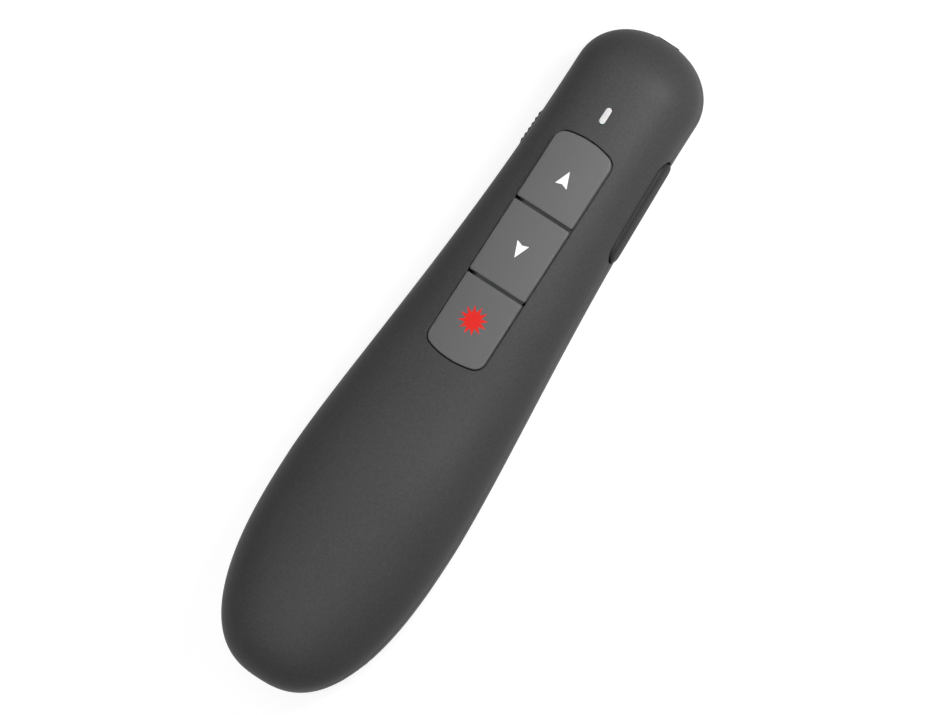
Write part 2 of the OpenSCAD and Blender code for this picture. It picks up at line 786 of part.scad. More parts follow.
module rocker_blank() {
    rings = concat(
        [at_height(pill_points(rocker_length, rocker_height, 0), rocker_back_x)],
        [for (e = rounding(rocker_edge))
            [for (p = pill_points(rocker_length, rocker_height, -e[0]))
                [p.x, p.y, rocker_crown(p.x, p.y) + e[1]]]],
        [at_height(pill_points(rocker_length, rocker_height, -1.2 * rocker_edge), rocker_face_x + 1)]);
    translate([0, rocker_y, parting_height]) rotate([90, 0, 90]) skinned(rings);
}

module side_rocker() {
    color("#2d2e30") difference() {
        union() {
            intersection() {
                rocker_blank();
                translate([rocker_face_x, rocker_y, parting_height]) rotate([0, 0, rocker_turn])
                    rod_y(-rocker_crown_radius, 0, rocker_crown_radius, -rocker_length, rocker_length, $fn = 360);
            }
            box([rocker_pin_x, rocker_y - lug_radius, parting_height - lug_height / 2],
                [rocker_back_x + 0.2, rocker_y + lug_radius, parting_height + lug_height / 2]);
            translate([rocker_pin_x, rocker_y, parting_height - lug_height / 2])
                cylinder(r = lug_radius, h = lug_height);
            for (side = [-1, 1]) translate([0, rocker_y + side * rocker_reach, 0])
                box([rocker_back_x - 0.4, -pad_half, pad_z - 1], [rocker_back_x + 0.2, pad_half, pad_z + 0.6]);
        }
        translate([rocker_pin_x, rocker_y, 0]) cylinder(r = rocker_pin_radius + running_fit, h = far);
    }
}

module rocker_pin() {
    color("silver") translate([rocker_pin_x, rocker_y, ear_low_z])
        cylinder(r = rocker_pin_radius, h = ear_high_z + ear_thickness - ear_low_z);
}

module rocker_bracket() {
    back_x = rocker_pin_x - lug_radius - 1.3;
    color("#c9c4b4") difference() {
        union() {
            box([back_x, rocker_y - lug_radius, ear_low_z],
                [back_x + ear_thickness, rocker_y + lug_radius, board_bottom]);
            for (z = [ear_low_z, ear_high_z])
                box([back_x, rocker_y - lug_radius, z],
                    [rocker_pin_x + rocker_pin_radius + 0.45, rocker_y + lug_radius, z + ear_thickness]);
        }
        translate([rocker_pin_x, rocker_y, 0]) cylinder(r = rocker_pin_radius, h = far);
    }
}

module rocker_switches() {
    face_x = rocker_back_x - 0.4 - plunger_gap;
    for (side = [-1, 1]) translate([0, rocker_y + side * rocker_reach, 0]) {
        color("#26272a") box([face_x - plunger_length - side_switch.x, -side_switch.y / 2, pad_z - side_switch.z],
            [face_x - plunger_length, side_switch.y / 2, board_bottom]);
        color("#b8b4a8") translate([face_x - plunger_length, 0, pad_z]) rotate([0, 90, 0])
            cylinder(r = plunger_radius, h = plunger_length);
    }
}

// ---- Laser -----------------------------------------------------------------------------------

lens_radius = 1.9;
lens_thickness = 1.6;
lens_curve = 3.2;
lens_seat = 2.6;
diode_bore_radius = 1.2;
pin_width = 0.5;

module laser_barrel() {
    color("#b08d3c") difference() {
        rod_y(0, barrel_z, barrel_radius, barrel_back_y, barrel_front_y);
        rod_y(0, barrel_z, lens_radius, barrel_front_y - lens_seat, far);
        rod_y(0, barrel_z, diode_bore_radius, barrel_back_y + 1, far);
    }
}

module laser_lens() {
    front_y = barrel_front_y - lens_seat + lens_thickness;
    color("#dfe6ea") intersection() {
        rod_y(0, barrel_z, lens_radius - running_fit, barrel_front_y - lens_seat, front_y);
        translate([0, front_y - lens_curve, barrel_z]) sphere(r = lens_curve);
    }
}

module laser_board() {
    color("#1f5a34") rod_y(0, barrel_z, barrel_radius - 0.3, barrel_back_y - 0.8, barrel_back_y);
    color("silver") for (side = [-1, 1]) translate([side * 0.9, barrel_back_y - 0.6, 0])
        box([-pin_width / 2, 0, barrel_z + 2], [pin_width / 2, pin_width, board_bottom]);
}

module laser_window() {
    color("#43262a") rod_y(0, barrel_z, ring_radius, barrel_front_y, barrel_front_y + window_thickness);
}

module nose_ring() {
    back_y = half_length - ring_length;
    color("#161617") difference() {
        rod_y(0, barrel_z, ring_radius, back_y, half_length);
        translate([0, back_y - 0.01, barrel_z]) rotate([-90, 0, 0])
            cylinder(r1 = beam_radius, r2 = ring_radius - ring_wall / 3, h = ring_length + 0.02);
    }
}

// ---- Batteries -------------------------------------------------------------------------------

module battery_tray() {
    trough = cell_radius + clear;
    low = cell_pitch / 2 + trough;
    back = bay_tail_y - tray_wall;
    color("#1d1e20") difference() {
        intersection() {
            union() {
                box([-tray_half_width, back, tray_bottom_z],
                    [tray_half_width, bay_head_y + tray_wall, tray_ceiling_z + tray_roof]);
                box([-catch_width / 2, back - 2 * hook_reach, hook_z - clear - hook_thickness],
                    [catch_width / 2, back + 0.1, hook_z - clear]);
            }
            body_slice(back - 2 * hook_reach - 0.2, bay_head_y + tray_wall + 1, wall + 2 * clear, 12);
        }
        for (side = [-1, 1]) rod_y(side * cell_pitch / 2, cell_z, trough, bay_tail_y, bay_head_y);
        box([-low, bay_tail_y, -far], [low, bay_head_y, cell_z + 2]);
        for (side = [-1, 1])
            box([side * tab_x - tab_half - clear, bay_head_y - 0.1, tab_z - clear],
                [side * tab_x + tab_half + clear, bay_head_y + 2 * tray_wall, tab_z + plate + clear]);
    }
}

// side -1 is the left cell, whose button faces the head; the right cell's button faces the tail
module cell(side) {
    turn = side < 0 ? 1 : -1;
    base_y = side < 0 ? bay_tail_y + plate + spring_length : bay_head_y - plate - spring_length;
    chamfer = 0.4;
    can = cell_length - button_height;
    color("#2f6f9e") translate([side * cell_pitch / 2, base_y, cell_z]) rotate([-90 * turn, 0, 0])
        rotate_extrude() polygon([[0, 0], [cell_radius - chamfer, 0], [cell_radius, chamfer],
            [cell_radius, can - 2 * chamfer], [cell_radius - 2 * chamfer, can],
            [cell_button_radius, can], [cell_button_radius, cell_length - 0.2],
            [cell_button_radius - 0.2, cell_length], [0, cell_length]]);
}

module cell_left() cell(-1);
module cell_right() cell(1);

// Conical spring wound along Y; dir 1 points to the head
module contact_spring(side, base_y, dir) {
    steps = 14 * spring_turns;
    wire = spring_wire / 2;
    skinned([for (i = [0 : steps])
        [for (j = [0 : 5])
            let (a = 360 * spring_turns * i / steps,
                 r = contact_half + 0.4 - spring_taper * i / steps + wire * cos(60 * j),
                 along = wire + (spring_length - 2 * wire) * i / steps + wire * sin(60 * j))
            [side * cell_pitch / 2 + r * cos(a), base_y + dir * along, cell_z + dir * r * sin(a)]]]);
}

module spring_left() color("silver") contact_spring(-1, bay_tail_y + plate, 1);
module spring_right() color("silver") contact_spring(1, bay_head_y - plate, -1);

module tail_contact() {
    reach = cell_pitch / 2 + contact_half;
    color("silver") box([-reach, bay_tail_y, cell_z - contact_half], [reach, bay_tail_y + plate, cell_z + 2]);
}

// Head contact with a tab that passes through the tray and turns up to the board
module head_contact(side) {
    tab = [side * tab_x - tab_half, side * tab_x + tab_half];
    color("silver") {
        box([side * cell_pitch / 2 - contact_half, bay_head_y - plate, cell_z - contact_half],
            [side * cell_pitch / 2 + contact_half, bay_head_y, cell_z + contact_half]);
        box([tab[0], bay_head_y - plate, tab_z], [tab[1], tab_y, tab_z + plate]);
        box([tab[0], tab_y - plate, tab_z], [tab[1], tab_y, board_bottom]);
    }
}

module contact_left() head_contact(-1);
module contact_right() head_contact(1);

// ---- Receiver --------------------------------------------------------------------------------

grip_front_y = dock_back_y + clear + grip_length;
plug_z = grip_bottom_z + grip_thickness / 2;
plug_skin = 0.3;
grip_corner = 1.4;

module receiver_grip() {
    back = dock_back_y + clear;
    top = grip_bottom_z + grip_thickness;
    groove = grip_length / 6;
    color("#232426") difference() {
        union() {
            for (side = [-1, 1])
                translate([side * (grip_width / 2 - grip_corner), back + grip_corner, grip_bottom_z])
                    cylinder(r = grip_corner, h = grip_thickness);
            box([grip_corner - grip_width / 2, back, grip_bottom_z],
                [grip_width / 2 - grip_corner, back + grip_corner, top]);
            box([-grip_width / 2, back + grip_corner, grip_bottom_z], [grip_width / 2, grip_front_y, top]);
        }
        for (k = [1 : 3]) translate([0, back + groove * (k + 0.5), grip_bottom_z - 0.15]) rotate([0, 90, 0])
            cylinder(r = 0.4, h = grip_width * 0.6, center = true);
    }
}

module receiver_plug() {
    window = [1.1, 2.2];
    color("#c4c6c8") difference() {
        box([-plug_width / 2, grip_front_y, plug_z - plug_thickness / 2],
            [plug_width / 2, grip_front_y + plug_length, plug_z + plug_thickness / 2]);
        box([-plug_width / 2 + plug_skin, grip_front_y + 0.4, plug_z - plug_thickness / 2 + plug_skin],
            [plug_width / 2 - plug_skin, far, plug_z + plug_thickness / 2 - plug_skin]);
        for (side = [-1, 1]) translate([side * plug_width * 0.23, grip_front_y + plug_length * 0.43, 0])
            box([-window[0], 0, -far], [window[0], window[1], far]);
    }
}

module receiver_tongue() {
    reach = plug_width / 2 - plug_skin - running_fit;
    top = plug_z + plug_thickness / 2 - plug_skin - running_fit;
    color("#1d1e20")
        box([-reach, grip_front_y + 0.4, plug_z], [reach, grip_front_y + plug_length - 2 * plug_skin, top]);
}

// ---- Screws ----------------------------------------------------------------------------------

module case_screws() {
    color("#2a2a2c") for (b = BOSSES) translate(b) {
        cylinder(r = screw_radius, h = screw_length);
        translate([0, 0, -screw_head_height]) cylinder(r = screw_head_radius, h = screw_head_height);
    }
}

upper_shell();
lower_shell();
battery_cover();
battery_tray();
key_forward();
key_back();
key_laser();
switch_forward();
switch_back();
switch_laser();
button_forward();
button_back();
button_laser();
circuit_board();
controller_chip();
radio_chip();
crystal();
status_led();
light_pipe();
power_slider();
power_switch();
power_lever();
side_rocker();
rocker_pin();
rocker_bracket();
rocker_switches();
laser_barrel();
laser_lens();
laser_board();
laser_window();
nose_ring();
cell_left();
cell_right();
tail_contact();
spring_left();
spring_right();
contact_left();
contact_right();
receiver_grip();
receiver_plug();
receiver_tongue();
case_screws();
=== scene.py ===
# Looks of the wireless presentation clicker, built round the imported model. Lengths are in
# millimetres until a mesh is made; +Y runs to the laser end, +X to the right, +Z out of the keys.
import math

import bmesh
import bpy
import numpy as np
from mathutils import Matrix, Vector
from mathutils.geometry import delaunay_2d_cdt


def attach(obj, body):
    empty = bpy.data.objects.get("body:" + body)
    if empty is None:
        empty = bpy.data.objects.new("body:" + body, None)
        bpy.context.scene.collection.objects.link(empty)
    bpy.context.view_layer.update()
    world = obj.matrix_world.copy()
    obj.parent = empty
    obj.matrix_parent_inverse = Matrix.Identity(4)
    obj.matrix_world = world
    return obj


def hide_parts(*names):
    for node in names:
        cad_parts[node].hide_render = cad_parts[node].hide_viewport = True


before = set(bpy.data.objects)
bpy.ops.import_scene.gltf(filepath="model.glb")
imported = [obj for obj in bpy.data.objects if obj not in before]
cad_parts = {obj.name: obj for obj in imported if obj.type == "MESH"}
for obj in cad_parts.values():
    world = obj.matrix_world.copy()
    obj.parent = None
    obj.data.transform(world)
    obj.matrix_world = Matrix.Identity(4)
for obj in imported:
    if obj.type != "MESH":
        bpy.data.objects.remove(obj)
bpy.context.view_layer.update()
MM = 0.001

# ---- Sizes shared with the CAD source --------------------------------------------------------
HALF = 63.5
NECK_WIDTH, BELLY_WIDTH = 22.9, 32.7
NECK_TOP, BELLY_TOP = 20.4, 22.8
PARTING, NECK_LIFT, FLAT_DEPTH, WALL = 10.6, 1.6, 0.35, 2.0
BELLY_Y = -28.5
TAIL_ROUND, TAIL_POWER, HEAD_ROUND, HEAD_POWER = 34.4, 2.55, 9.6, 2.08
KEEL_ROUND, KEEL_POWER = 26.0, 2.6
WAIST_POWER, WAIST_END_Y = 0.76, HALF - 11.2
CROWN_POWER, BELLY_POWER = 2.3, 2.6
LIFT_START, LIFT_LENGTH = 30.0, 24.0
SEAM, SEAM_ROUND, LIP = 0.04, 0.13, 0.14
PAD_HEAD, PAD_TAIL, PAD_WIDTH, PAD_END, PAD_CORNER = 42.3, -1.1, 11.26, 15.1, 2.0
SPLITS, SPLIT, KEY_GAP, FLANGE, CLEAR = (27.9, 13.3), 0.54, 0.2, 1.1, 0.25
KEY_Y = (35.1, 20.6, 6.1)
KEY_TOP, KEY_CROWN, KEY_EDGE, KEY_CORNER, KEY_WALL, KEY_ROOF = 20.65, 50.0, 0.3, 0.35, 1.2, 1.4
FLANGE_LOW, FLANGE_HIGH, LAND = 16.5, 17.3, 17.6
STEM_RADIUS, STEM_LOW = 1.5, 18.1
LIGHT_Y, LIGHT_LENGTH, LIGHT_WIDTH = 47.3, 3.06, 1.1
ROCKER_Y, ROCKER_SLOT, ROCKER_SLOT_HIGH = 36.8, 19.8, 5.7
SLIDER_LOW, SLIDER_HIGH, SLIDER_HALF, SLIDER_CORNER = 35.55, 45.35, 1.95, 0.3
THUMB_Y, THUMB_LENGTH, THUMB_HALF, THUMB_EDGE, THUMB_PROUD = 39.2, 6.8, 1.7, 0.25, 0.1
RIBS, RIB_PITCH, RIB_HIGH, THUMB_STEPS = 6, 1.05, 0.16, 136
SHIELD_X, SHIELD_HALF, SHIELD_HIGH, SHIELD_THICK = 8.7, 6.15, 2.3, 0.71
FORK_Y, FORK_HALF, FORK_X, FORK_Z = 1.3, 0.5, (0.36, 1.71), (11.6, 14.2)
BARREL_Z, RING_RADIUS, BEAM_RADIUS, RING_BACK = 10.0, 2.22, 1.5, HALF - 1.6
COVER_HALF, COVER_FRONT, COVER_SIDE_Z, COVER_WRAP, COVER_TOP_Z = 12.4, -2.8, 4.0, -50.8, 8.0
DOCK_BACK, GRIP_HALF, GRIP_FRONT, PLUG_HALF, PLUG_FRONT, DOCK_TOP = 8.2, 7.55, 15.1, 6.25, 27.1, 7.4
SCOOP_RADIUS, SCOOP_DROP, SCOOP_HALF = 4.0, 1.5, 4.5
SCREWS = ((9.773, 1.5, 4.523), (6.403, 50.6, 4.62))
RECESS_RADIUS, SHAFT_RADIUS, FOOT_RADIUS = 1.9, 1.1, 2.6
FOOT_DEPTH, FOOT_BORE, RIB_WALL = 0.8, 1.95, 1.0
GROOVES, GROOVE_PITCH, GROOVE_RADIUS, GROOVE_DEPTH, GROOVE_HALF = 5, 1.8, 0.7, 0.4, 4.5
GROOVE_FLOOR, GROOVE_LIP, SCREW_LIP = 0.03, 0.06, 0.1
LATCH_HALF, LATCH_BACK, LATCH_LOW, LATCH_TOP, TONGUE_LOW, TONGUE_FRONT = 3, -7.2, 0.86, 2.65, 1.75, -0.6
NIB_HALF, NIB_LONG, NIB_LOW = 4, 0.2, 0.12
HOOK_HALF, HOOK_Y, HOOK_Z = 3.4, (-61.5, -54.05), (5.4, 6.2)
CELL_MIDDLE, BLUE_HALF = 28.5, 16.5
STATIONS, TIP_STATIONS = 132, (0.12, 0.4)
QUARTER = [0, 0.06, 0.15, 0.3, 0.6, 1.2, 2.5, 4.5, 7, 10, 13.5, 17, 21, 25, 29, 33, 37, 41, 45,
           49, 53, 57, 61, 65, 69, 73, 77, 81, 85.5, 90]
ANGLES = np.array(QUARTER + [180 - a for a in QUARTER[-2::-1]])
ROWS = len(ANGLES) - 1


# ---- Outline of the body ---------------------------------------------------------------------
def fade(t):
    return (1 + np.cos(np.pi * np.clip(t, 0, 1))) / 2


def round_end(d, length, power):
    return (1 - np.clip(1 - d / length, 0, 1) ** power) ** (1 / power)


def head_end(y):
    return round_end(HALF - y, HEAD_ROUND, HEAD_POWER)


def tail_end(y):
    return round_end(y + HALF, TAIL_ROUND, TAIL_POWER)


def half_width(y):
    waist = fade((np.maximum(0, y - BELLY_Y) / (WAIST_END_Y - BELLY_Y)) ** WAIST_POWER)
    return (NECK_WIDTH + (BELLY_WIDTH - NECK_WIDTH) * waist) / 2 * tail_end(y) * head_end(y)


def top_rise(y):
    hump = (BELLY_TOP - NECK_TOP) * fade((y - BELLY_Y) / (PAD_TAIL - BELLY_Y))
    return (NECK_TOP - PARTING + hump) * tail_end(y) * head_end(y)


def keel_drop(y):
    lift = NECK_LIFT * (1 - fade((y - LIFT_START) / LIFT_LENGTH))
    return (PARTING + FLAT_DEPTH - lift) * round_end(y + HALF, KEEL_ROUND, KEEL_POWER) * head_end(y)


class Skin:
    """One half of the body's skin in a plane of stations (u) and rows (v). side 1 is the upper
    half and -1 the lower one; inner is the inside of the wall."""

    def __init__(self, side, inner=False):
        self.side, self.inner = side, inner
        self.power = CROWN_POWER if side > 0 else BELLY_POWER
        u = np.linspace(0, STATIONS, 60 * STATIONS + 1)
        y = -HALF * np.cos(np.pi * u / STATIONS)
        w, h = half_width(y), (top_rise(y) if side > 0 else keel_drop(y))
        if inner:
            dw, dy = np.gradient(w, u), np.gradient(y, u)
            n = np.hypot(dw, dy)
            scale = np.maximum(0.05, 1 - WALL * dy / n / np.maximum(w, 1e-6))
            y, w, h = y + WALL * dw / n, w * scale, h * scale
            y = np.maximum.accumulate(y + np.arange(len(y)) * 1e-9)
        self.u, self.y, self.w, self.h = u, y, w, h

    def section(self, y):
        if self.inner:
            return np.interp(y, self.y, self.w), np.interp(y, self.y, self.h)
        return half_width(y), (top_rise(y) if self.side > 0 else keel_drop(y))

    def station(self, y):
        if self.inner:
            return np.interp(y, self.y, self.u)
        return np.arccos(np.clip(-np.asarray(y, float) / HALF, -1, 1)) * STATIONS / np.pi

    def from_plan(self, x, y):
        """Place in the plane of a point seen from above or below."""
        w = self.section(y)[0]
        a = np.degrees(np.arccos(np.clip(np.abs(x) / w, 0, 1) ** (self.power / 2)))
        return self.pair(y, np.where(np.asarray(x) < 0, 180 - a, a))

    def from_side(self, y, z, left):
        """Place in the plane of a point seen from the right or the left."""
        h = self.section(y)[1]
        rise = np.clip(np.abs(np.asarray(z, float) - PARTING) / h, 0, 1)
        a = np.degrees(np.arcsin(rise ** (self.power / 2)))
        return self.pair(y, np.where(left, 180 - a, a))

    def pair(self, y, a):
        y, a = np.broadcast_arrays(np.asarray(y, float), np.asarray(a, float))
        return np.stack([self.station(y), np.interp(a, ANGLES, np.arange(ROWS + 1))], -1)

    def point(self, uv):
        """Points and outward normals."""
        u, v = uv[:, 0], uv[:, 1]
        if self.inner:
            y, w, h = (np.interp(u, self.u, t) for t in (self.y, self.w, self.h))
        else:
            y = -HALF * np.cos(np.pi * np.clip(u, 0, STATIONS) / STATIONS)
            w, h = self.section(y)
        a = np.radians(np.interp(v, np.arange(ROWS + 1), ANGLES))
        p = self.power
        cx, sz = np.abs(np.cos(a)), np.abs(np.sin(a))
        cx[cx < 1e-9] = 0
        sz[sz < 1e-9] = 0
        right = np.where(np.cos(a) < 0, -1, 1)
        x, z = right * w * cx ** (2 / p), self.side * h * sz ** (2 / p)
        wa, ha = self.section(y - 2e-3)
        wb, hb = self.section(y + 2e-3)
        w1, h1 = np.maximum(w, 1e-5), np.maximum(h, 1e-5)
        nx = right * cx ** (2 * (p - 1) / p) / w1
        nz = self.side * sz ** (2 * (p - 1) / p) / h1
        ny = -(cx ** 2 * (wb - wa) / 4e-3 / w1 + sz ** 2 * (hb - ha) / 4e-3 / h1)
        n = unit(np.stack([nx, ny, nz], -1))
        for end in (0, STATIONS):
            n[np.abs(u - end) < 1e-4] = (0, 1 if end else -1, 0)
        co = np.stack([x, y, z], -1)
        if not self.inner:
            near = np.clip(SEAM_ROUND - np.abs(z), 0, SEAM_ROUND)
            rest = np.sqrt(SEAM_ROUND ** 2 - near ** 2)
            co -= n * (SEAM_ROUND - rest)[:, None]
            n = n * (rest / SEAM_ROUND)[:, None]
            n[:, 2] -= self.side * near / SEAM_ROUND
        co[:, 2] += PARTING + self.side * SEAM
        if self.side < 0 and not self.inner:
            flat = 0.1
            root = np.sqrt(co[:, 2] ** 2 + flat ** 2)
            n[:, :2] *= (0.5 * (1 + co[:, 2] / root))[:, None]
            co[:, 2] = 0.5 * (co[:, 2] + root)
        return co, unit(n)


def unit(vectors, least=1e-12):
    return vectors / np.maximum(np.linalg.norm(vectors, axis=1, keepdims=True), least)


def inside(points, ring):
    """Which points lie inside a closed ring of corners."""
    x, y = points[:, 0], points[:, 1]
    found = np.zeros(len(points), bool)
    for (x0, y0), (x1, y1) in zip(ring, np.roll(ring, -1, 0)):
        if y0 != y1:
            cross = (y0 > y) != (y1 > y)
            found ^= cross & (x < (x1 - x0) * (y - y0) / (y1 - y0) + x0)
    return found


def away(points, line, closed, gap):
    """Which points lie further than gap from a line of corners."""
    a = line if closed else line[:-1]
    b = np.roll(line, -1, 0) if closed else line[1:]
    far = np.ones(len(points), bool)
    for p, q in zip(a, b):
        d = q - p
        t = np.clip(((points - p) @ d) / max(d @ d, 1e-12), 0, 1)
        far &= np.linalg.norm(points - p - t[:, None] * d, axis=1) > gap
    return far


def tiles(points, lines, gap=0.35):
    """Triangles over free points and lines (corners, closed); a line's corners stay in order."""
    for line, closed in lines:
        points = points[away(points, line, closed, gap)]
    co, edges = [tuple(p) for p in points], []
    for line, closed in lines:
        start, n = len(co), len(line)
        co += [tuple(p) for p in line]
        edges += [(start + k, start + (k + 1) % n) for k in range(n if closed else n - 1)]
    made = delaunay_2d_cdt([Vector(p) for p in co], edges, [], 0, 1e-7, False)
    flat = np.array([tuple(p) for p in made[0]])
    faces = np.array([list(f) for f in made[2]], int)
    return flat, faces


def turns(flat, faces):
    """Above zero for each triangle whose corners run anticlockwise."""
    a, b, c = (flat[faces[:, k]] for k in range(3))
    return (b[:, 0] - a[:, 0]) * (c[:, 1] - a[:, 1]) - (b[:, 1] - a[:, 1]) * (c[:, 0] - a[:, 0])


class Build:
    """A mesh in the making: points, their normals (none: left to Blender) and an edge value."""

    def __init__(self):
        self.co, self.no, self.edge, self.faces, self.count = [], [], [], [], 0

    def add(self, co, no=None, edge=0.0):
        co = np.asarray(co, float)
        self.co.append(co)
        self.no.append(np.zeros_like(co) if no is None else np.asarray(no, float))
        self.edge.append(np.full(len(co), edge))
        self.count += len(co)
        return np.arange(self.count - len(co), self.count)

    def tris(self, ids, faces, flip=False):
        for f in faces:
            g = [int(ids[k]) for k in f]
            self.faces.append(g[::-1] if flip else g)

    def strip(self, a, b, closed=True, flip=False):
        n = len(a)
        for k in range(n if closed else n - 1):
            m = (k + 1) % n
            g = [int(a[k]), int(a[m]), int(b[m]), int(b[k])]
            self.faces.append(g[::-1] if flip else g)

    def rings(self, rings, closed=True, flip=False):
        ids = [self.add(r) for r in rings]
        for a, b in zip(ids, ids[1:]):
            self.strip(a, b, closed, flip)
        return ids

    def box(self, low, high, bevel=0.12):
        """Box with chamfered edges."""
        low, high = np.array(low, float), np.array(high, float)
        mid, half = (low + high) / 2, (high - low) / 2
        corners = []
        for s in ((x, y, z) for x in (-1, 1) for y in (-1, 1) for z in (-1, 1)):
            for axis in range(3):
                inset = np.full(3, bevel)
                inset[axis] = 0
                corners.append(mid + np.array(s) * (half - inset))
        self.tris(self.add(corners), fill_hull(corners))

    def mesh(self, name, smooth_angle=40):
        co, no, edge = np.concatenate(self.co), np.concatenate(self.no), np.concatenate(self.edge)
        key = np.round(co * 2e4).astype(np.int64)
        _, first, back = np.unique(key, axis=0, return_index=True, return_inverse=True)
        back = back.reshape(-1)
        total, marked = np.zeros((len(first), 3)), np.zeros(len(first))
        np.add.at(total, back, no)
        np.maximum.at(marked, back, edge)
        faces = []
        for f in self.faces:
            g = [int(back[k]) for k in f]
            g = [k for i, k in enumerate(g) if k != g[i - 1]]
            if len(set(g)) == len(g) >= 3:
                faces.append(g)
        me = bpy.data.meshes.new(name)
        me.from_pydata((co[first] * MM).tolist(), [], faces)
        me.update()
        me.shade_smooth()
        me.set_sharp_from_angle(angle=math.radians(smooth_angle))
        if np.abs(total).max() > 0:
            size = np.linalg.norm(total, axis=1, keepdims=True)
            me.normals_split_custom_set_from_vertices(
                np.where(size > 0.1, total / np.maximum(size, 1e-9), 0).tolist())
        me.attributes.new("edge", "FLOAT", "POINT").data.foreach_set(
            "value", marked.astype(np.float32))
        return me

    def piece(self, name, body, slot, materials, replaces=()):
        o = bpy.data.objects.new(name, self.mesh(name))
        bpy.context.scene.collection.objects.link(o)
        for m in materials:
            o.data.materials.append(m)
        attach(o, body)
        if replaces:
            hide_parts(*replaces)
        return o


def fill_hull(corners):
    """Triangles of a convex hull, facing out."""
    bm = bmesh.new()
    verts = [bm.verts.new(c) for c in corners]
    bmesh.ops.convex_hull(bm, input=verts)
    bmesh.ops.recalc_face_normals(bm, faces=bm.faces)
    bm.verts.index_update()
    found = [[v.index for v in f.verts] for f in bm.faces]
    bm.free()
    return found


def fill(build, ring, up=True, step=None, height=None, normal=None):
    """Flat or crowned face inside a closed ring of 3-D points."""
    ring = np.asarray(ring, float)
    plan = ring[:, :2]
    free = np.zeros((0, 2))
    if step:
        xs = np.arange(plan[:, 0].min(), plan[:, 0].max(), step)
        ys = np.arange(plan[:, 1].min(), plan[:, 1].max(), step)
        free = np.array([(x, y) for x in xs for y in ys])
        free = free[inside(free, plan)]
    flat, faces = tiles(free, [(plan, True)], 0.3 * (step or 1))
    z = np.full(len(flat), ring[0, 2]) if height is None else height(flat)
    ids = build.add(np.column_stack([flat, z]), None if normal is None else normal(flat))
    middle = flat[faces].mean(1)
    faces = faces[inside(middle, plan)]
    for f, t in zip(faces, turns(flat, faces)):
        build.tris(ids, [f], flip=(t > 0) != up)
    return ids


# ---- Outlines --------------------------------------------------------------------------------
def arc(cx, cy, r, a0, a1, turn, n):
    a = np.radians(np.linspace(a0, a1, n + 1))
    return np.column_stack([cx + r * np.cos(a), cy + turn * r * np.sin(a)])


def pad_end(turn, grow):
    r = max(PAD_CORNER + grow, 0.05)
    big, cx = PAD_END + grow, PAD_WIDTH / 2 + grow - r
    rise = math.sqrt((big - r) ** 2 - cx * cx)
    y = (PAD_HEAD if turn > 0 else PAD_TAIL) - turn * PAD_END
    a = math.degrees(math.atan2(rise, cx))
    return np.vstack([arc(cx, y + turn * rise, r, 0, a, turn, 8),
                      arc(0, y, big, a, 180 - a, turn, 18)[1:],
                      arc(-cx, y + turn * rise, r, 180 - a, 180, turn, 8)[1:]])


def split_end(y, turn, grow, along):
    r = max(KEY_CORNER + min(grow, along), 0.05)
    cx, cy = PAD_WIDTH / 2 + grow - r, y + turn * (along - r)
    steps = np.linspace(cx, -cx, 20)[1:-1]
    return np.vstack([arc(cx, cy, r, 0, 90, turn, 6),
                      np.column_stack([steps, np.full(len(steps), cy + turn * r)]),
                      arc(-cx, cy, r, 90, 180, turn, 6)])


def joined(head, tail, n):
    """Closed outline from a head end (+X to -X) and a tail end, with n steps down each side."""
    tail = tail[::-1]
    left = np.linspace(head[-1], tail[0], n + 1)[1:-1]
    right = np.linspace(tail[-1], head[0], n + 1)[1:-1]
    return np.vstack([head, left, tail, right])


def pad_points(grow):
    return joined(pad_end(1, grow), pad_end(-1, grow), 44)


def key_points(index, grow, along):
    head = (pad_end(1, grow) if index == 0 else
            split_end(SPLITS[index - 1] - SPLIT / 2, 1, grow, along))
    tail = (pad_end(-1, grow) if index == 2 else
            split_end(SPLITS[index] + SPLIT / 2, -1, grow, along))
    return joined(head, tail, 14)


def pill(y, length, width, grow, n=10):
    """Pill along Y, from its head end round to its tail end."""
    r, c = width / 2 + grow, (length - width) / 2
    return np.vstack([arc(0, y + c, r, 0, 180, 1, 2 * n), arc(0, y - c, r, 180, 360, 1, 2 * n)])


def circle(x, y, r, n=40):
    return arc(x, y, r, 0, 360, 1, n)[:-1]


def corners_grown(corners, grow):
    """Right-angled outline, each corner moved out along both of its sides, sides in short steps."""
    c = np.array(corners, float)
    before, after = c - np.roll(c, 1, 0), np.roll(c, -1, 0) - c
    out = []
    for p, d0, d1 in zip(c, before, after):
        d0, d1 = d0 / np.linalg.norm(d0), d1 / np.linalg.norm(d1)
        n0, n1 = np.array([d0[1], -d0[0]]), np.array([d1[1], -d1[0]])
        out.append(p + grow * (n0 + n1))
    rows = []
    for p, q, d in zip(out, np.roll(out, -1, 0), after):
        n = max(1, int(np.linalg.norm(d) / 0.9))
        rows += [p + (q - p) * k / n for k in range(n)]
    return np.array(rows)


# ---- Openings: each gives its line on a skin at a given growth --------------------------------
def plan_line(outline):
    """Line of an outline that is seen from above or below."""
    def line(skin, grow):
        p = outline(grow)
        return skin.from_plan(p[:, 0], p[:, 1])
    return line


def rocker_slot(skin, grow):
    r, c = ROCKER_SLOT_HIGH / 2 + grow, (ROCKER_SLOT - ROCKER_SLOT_HIGH) / 2
    a, b = arc(ROCKER_Y + c, 0, r, 0, 90, 1, 12), arc(ROCKER_Y - c, 0, r, 90, 180, 1, 12)
    between = np.linspace(a[-1], b[0], 14)[1:-1]
    p = np.vstack([a, between, b])
    return skin.from_side(p[:, 0], PARTING + skin.side * p[:, 1], False)


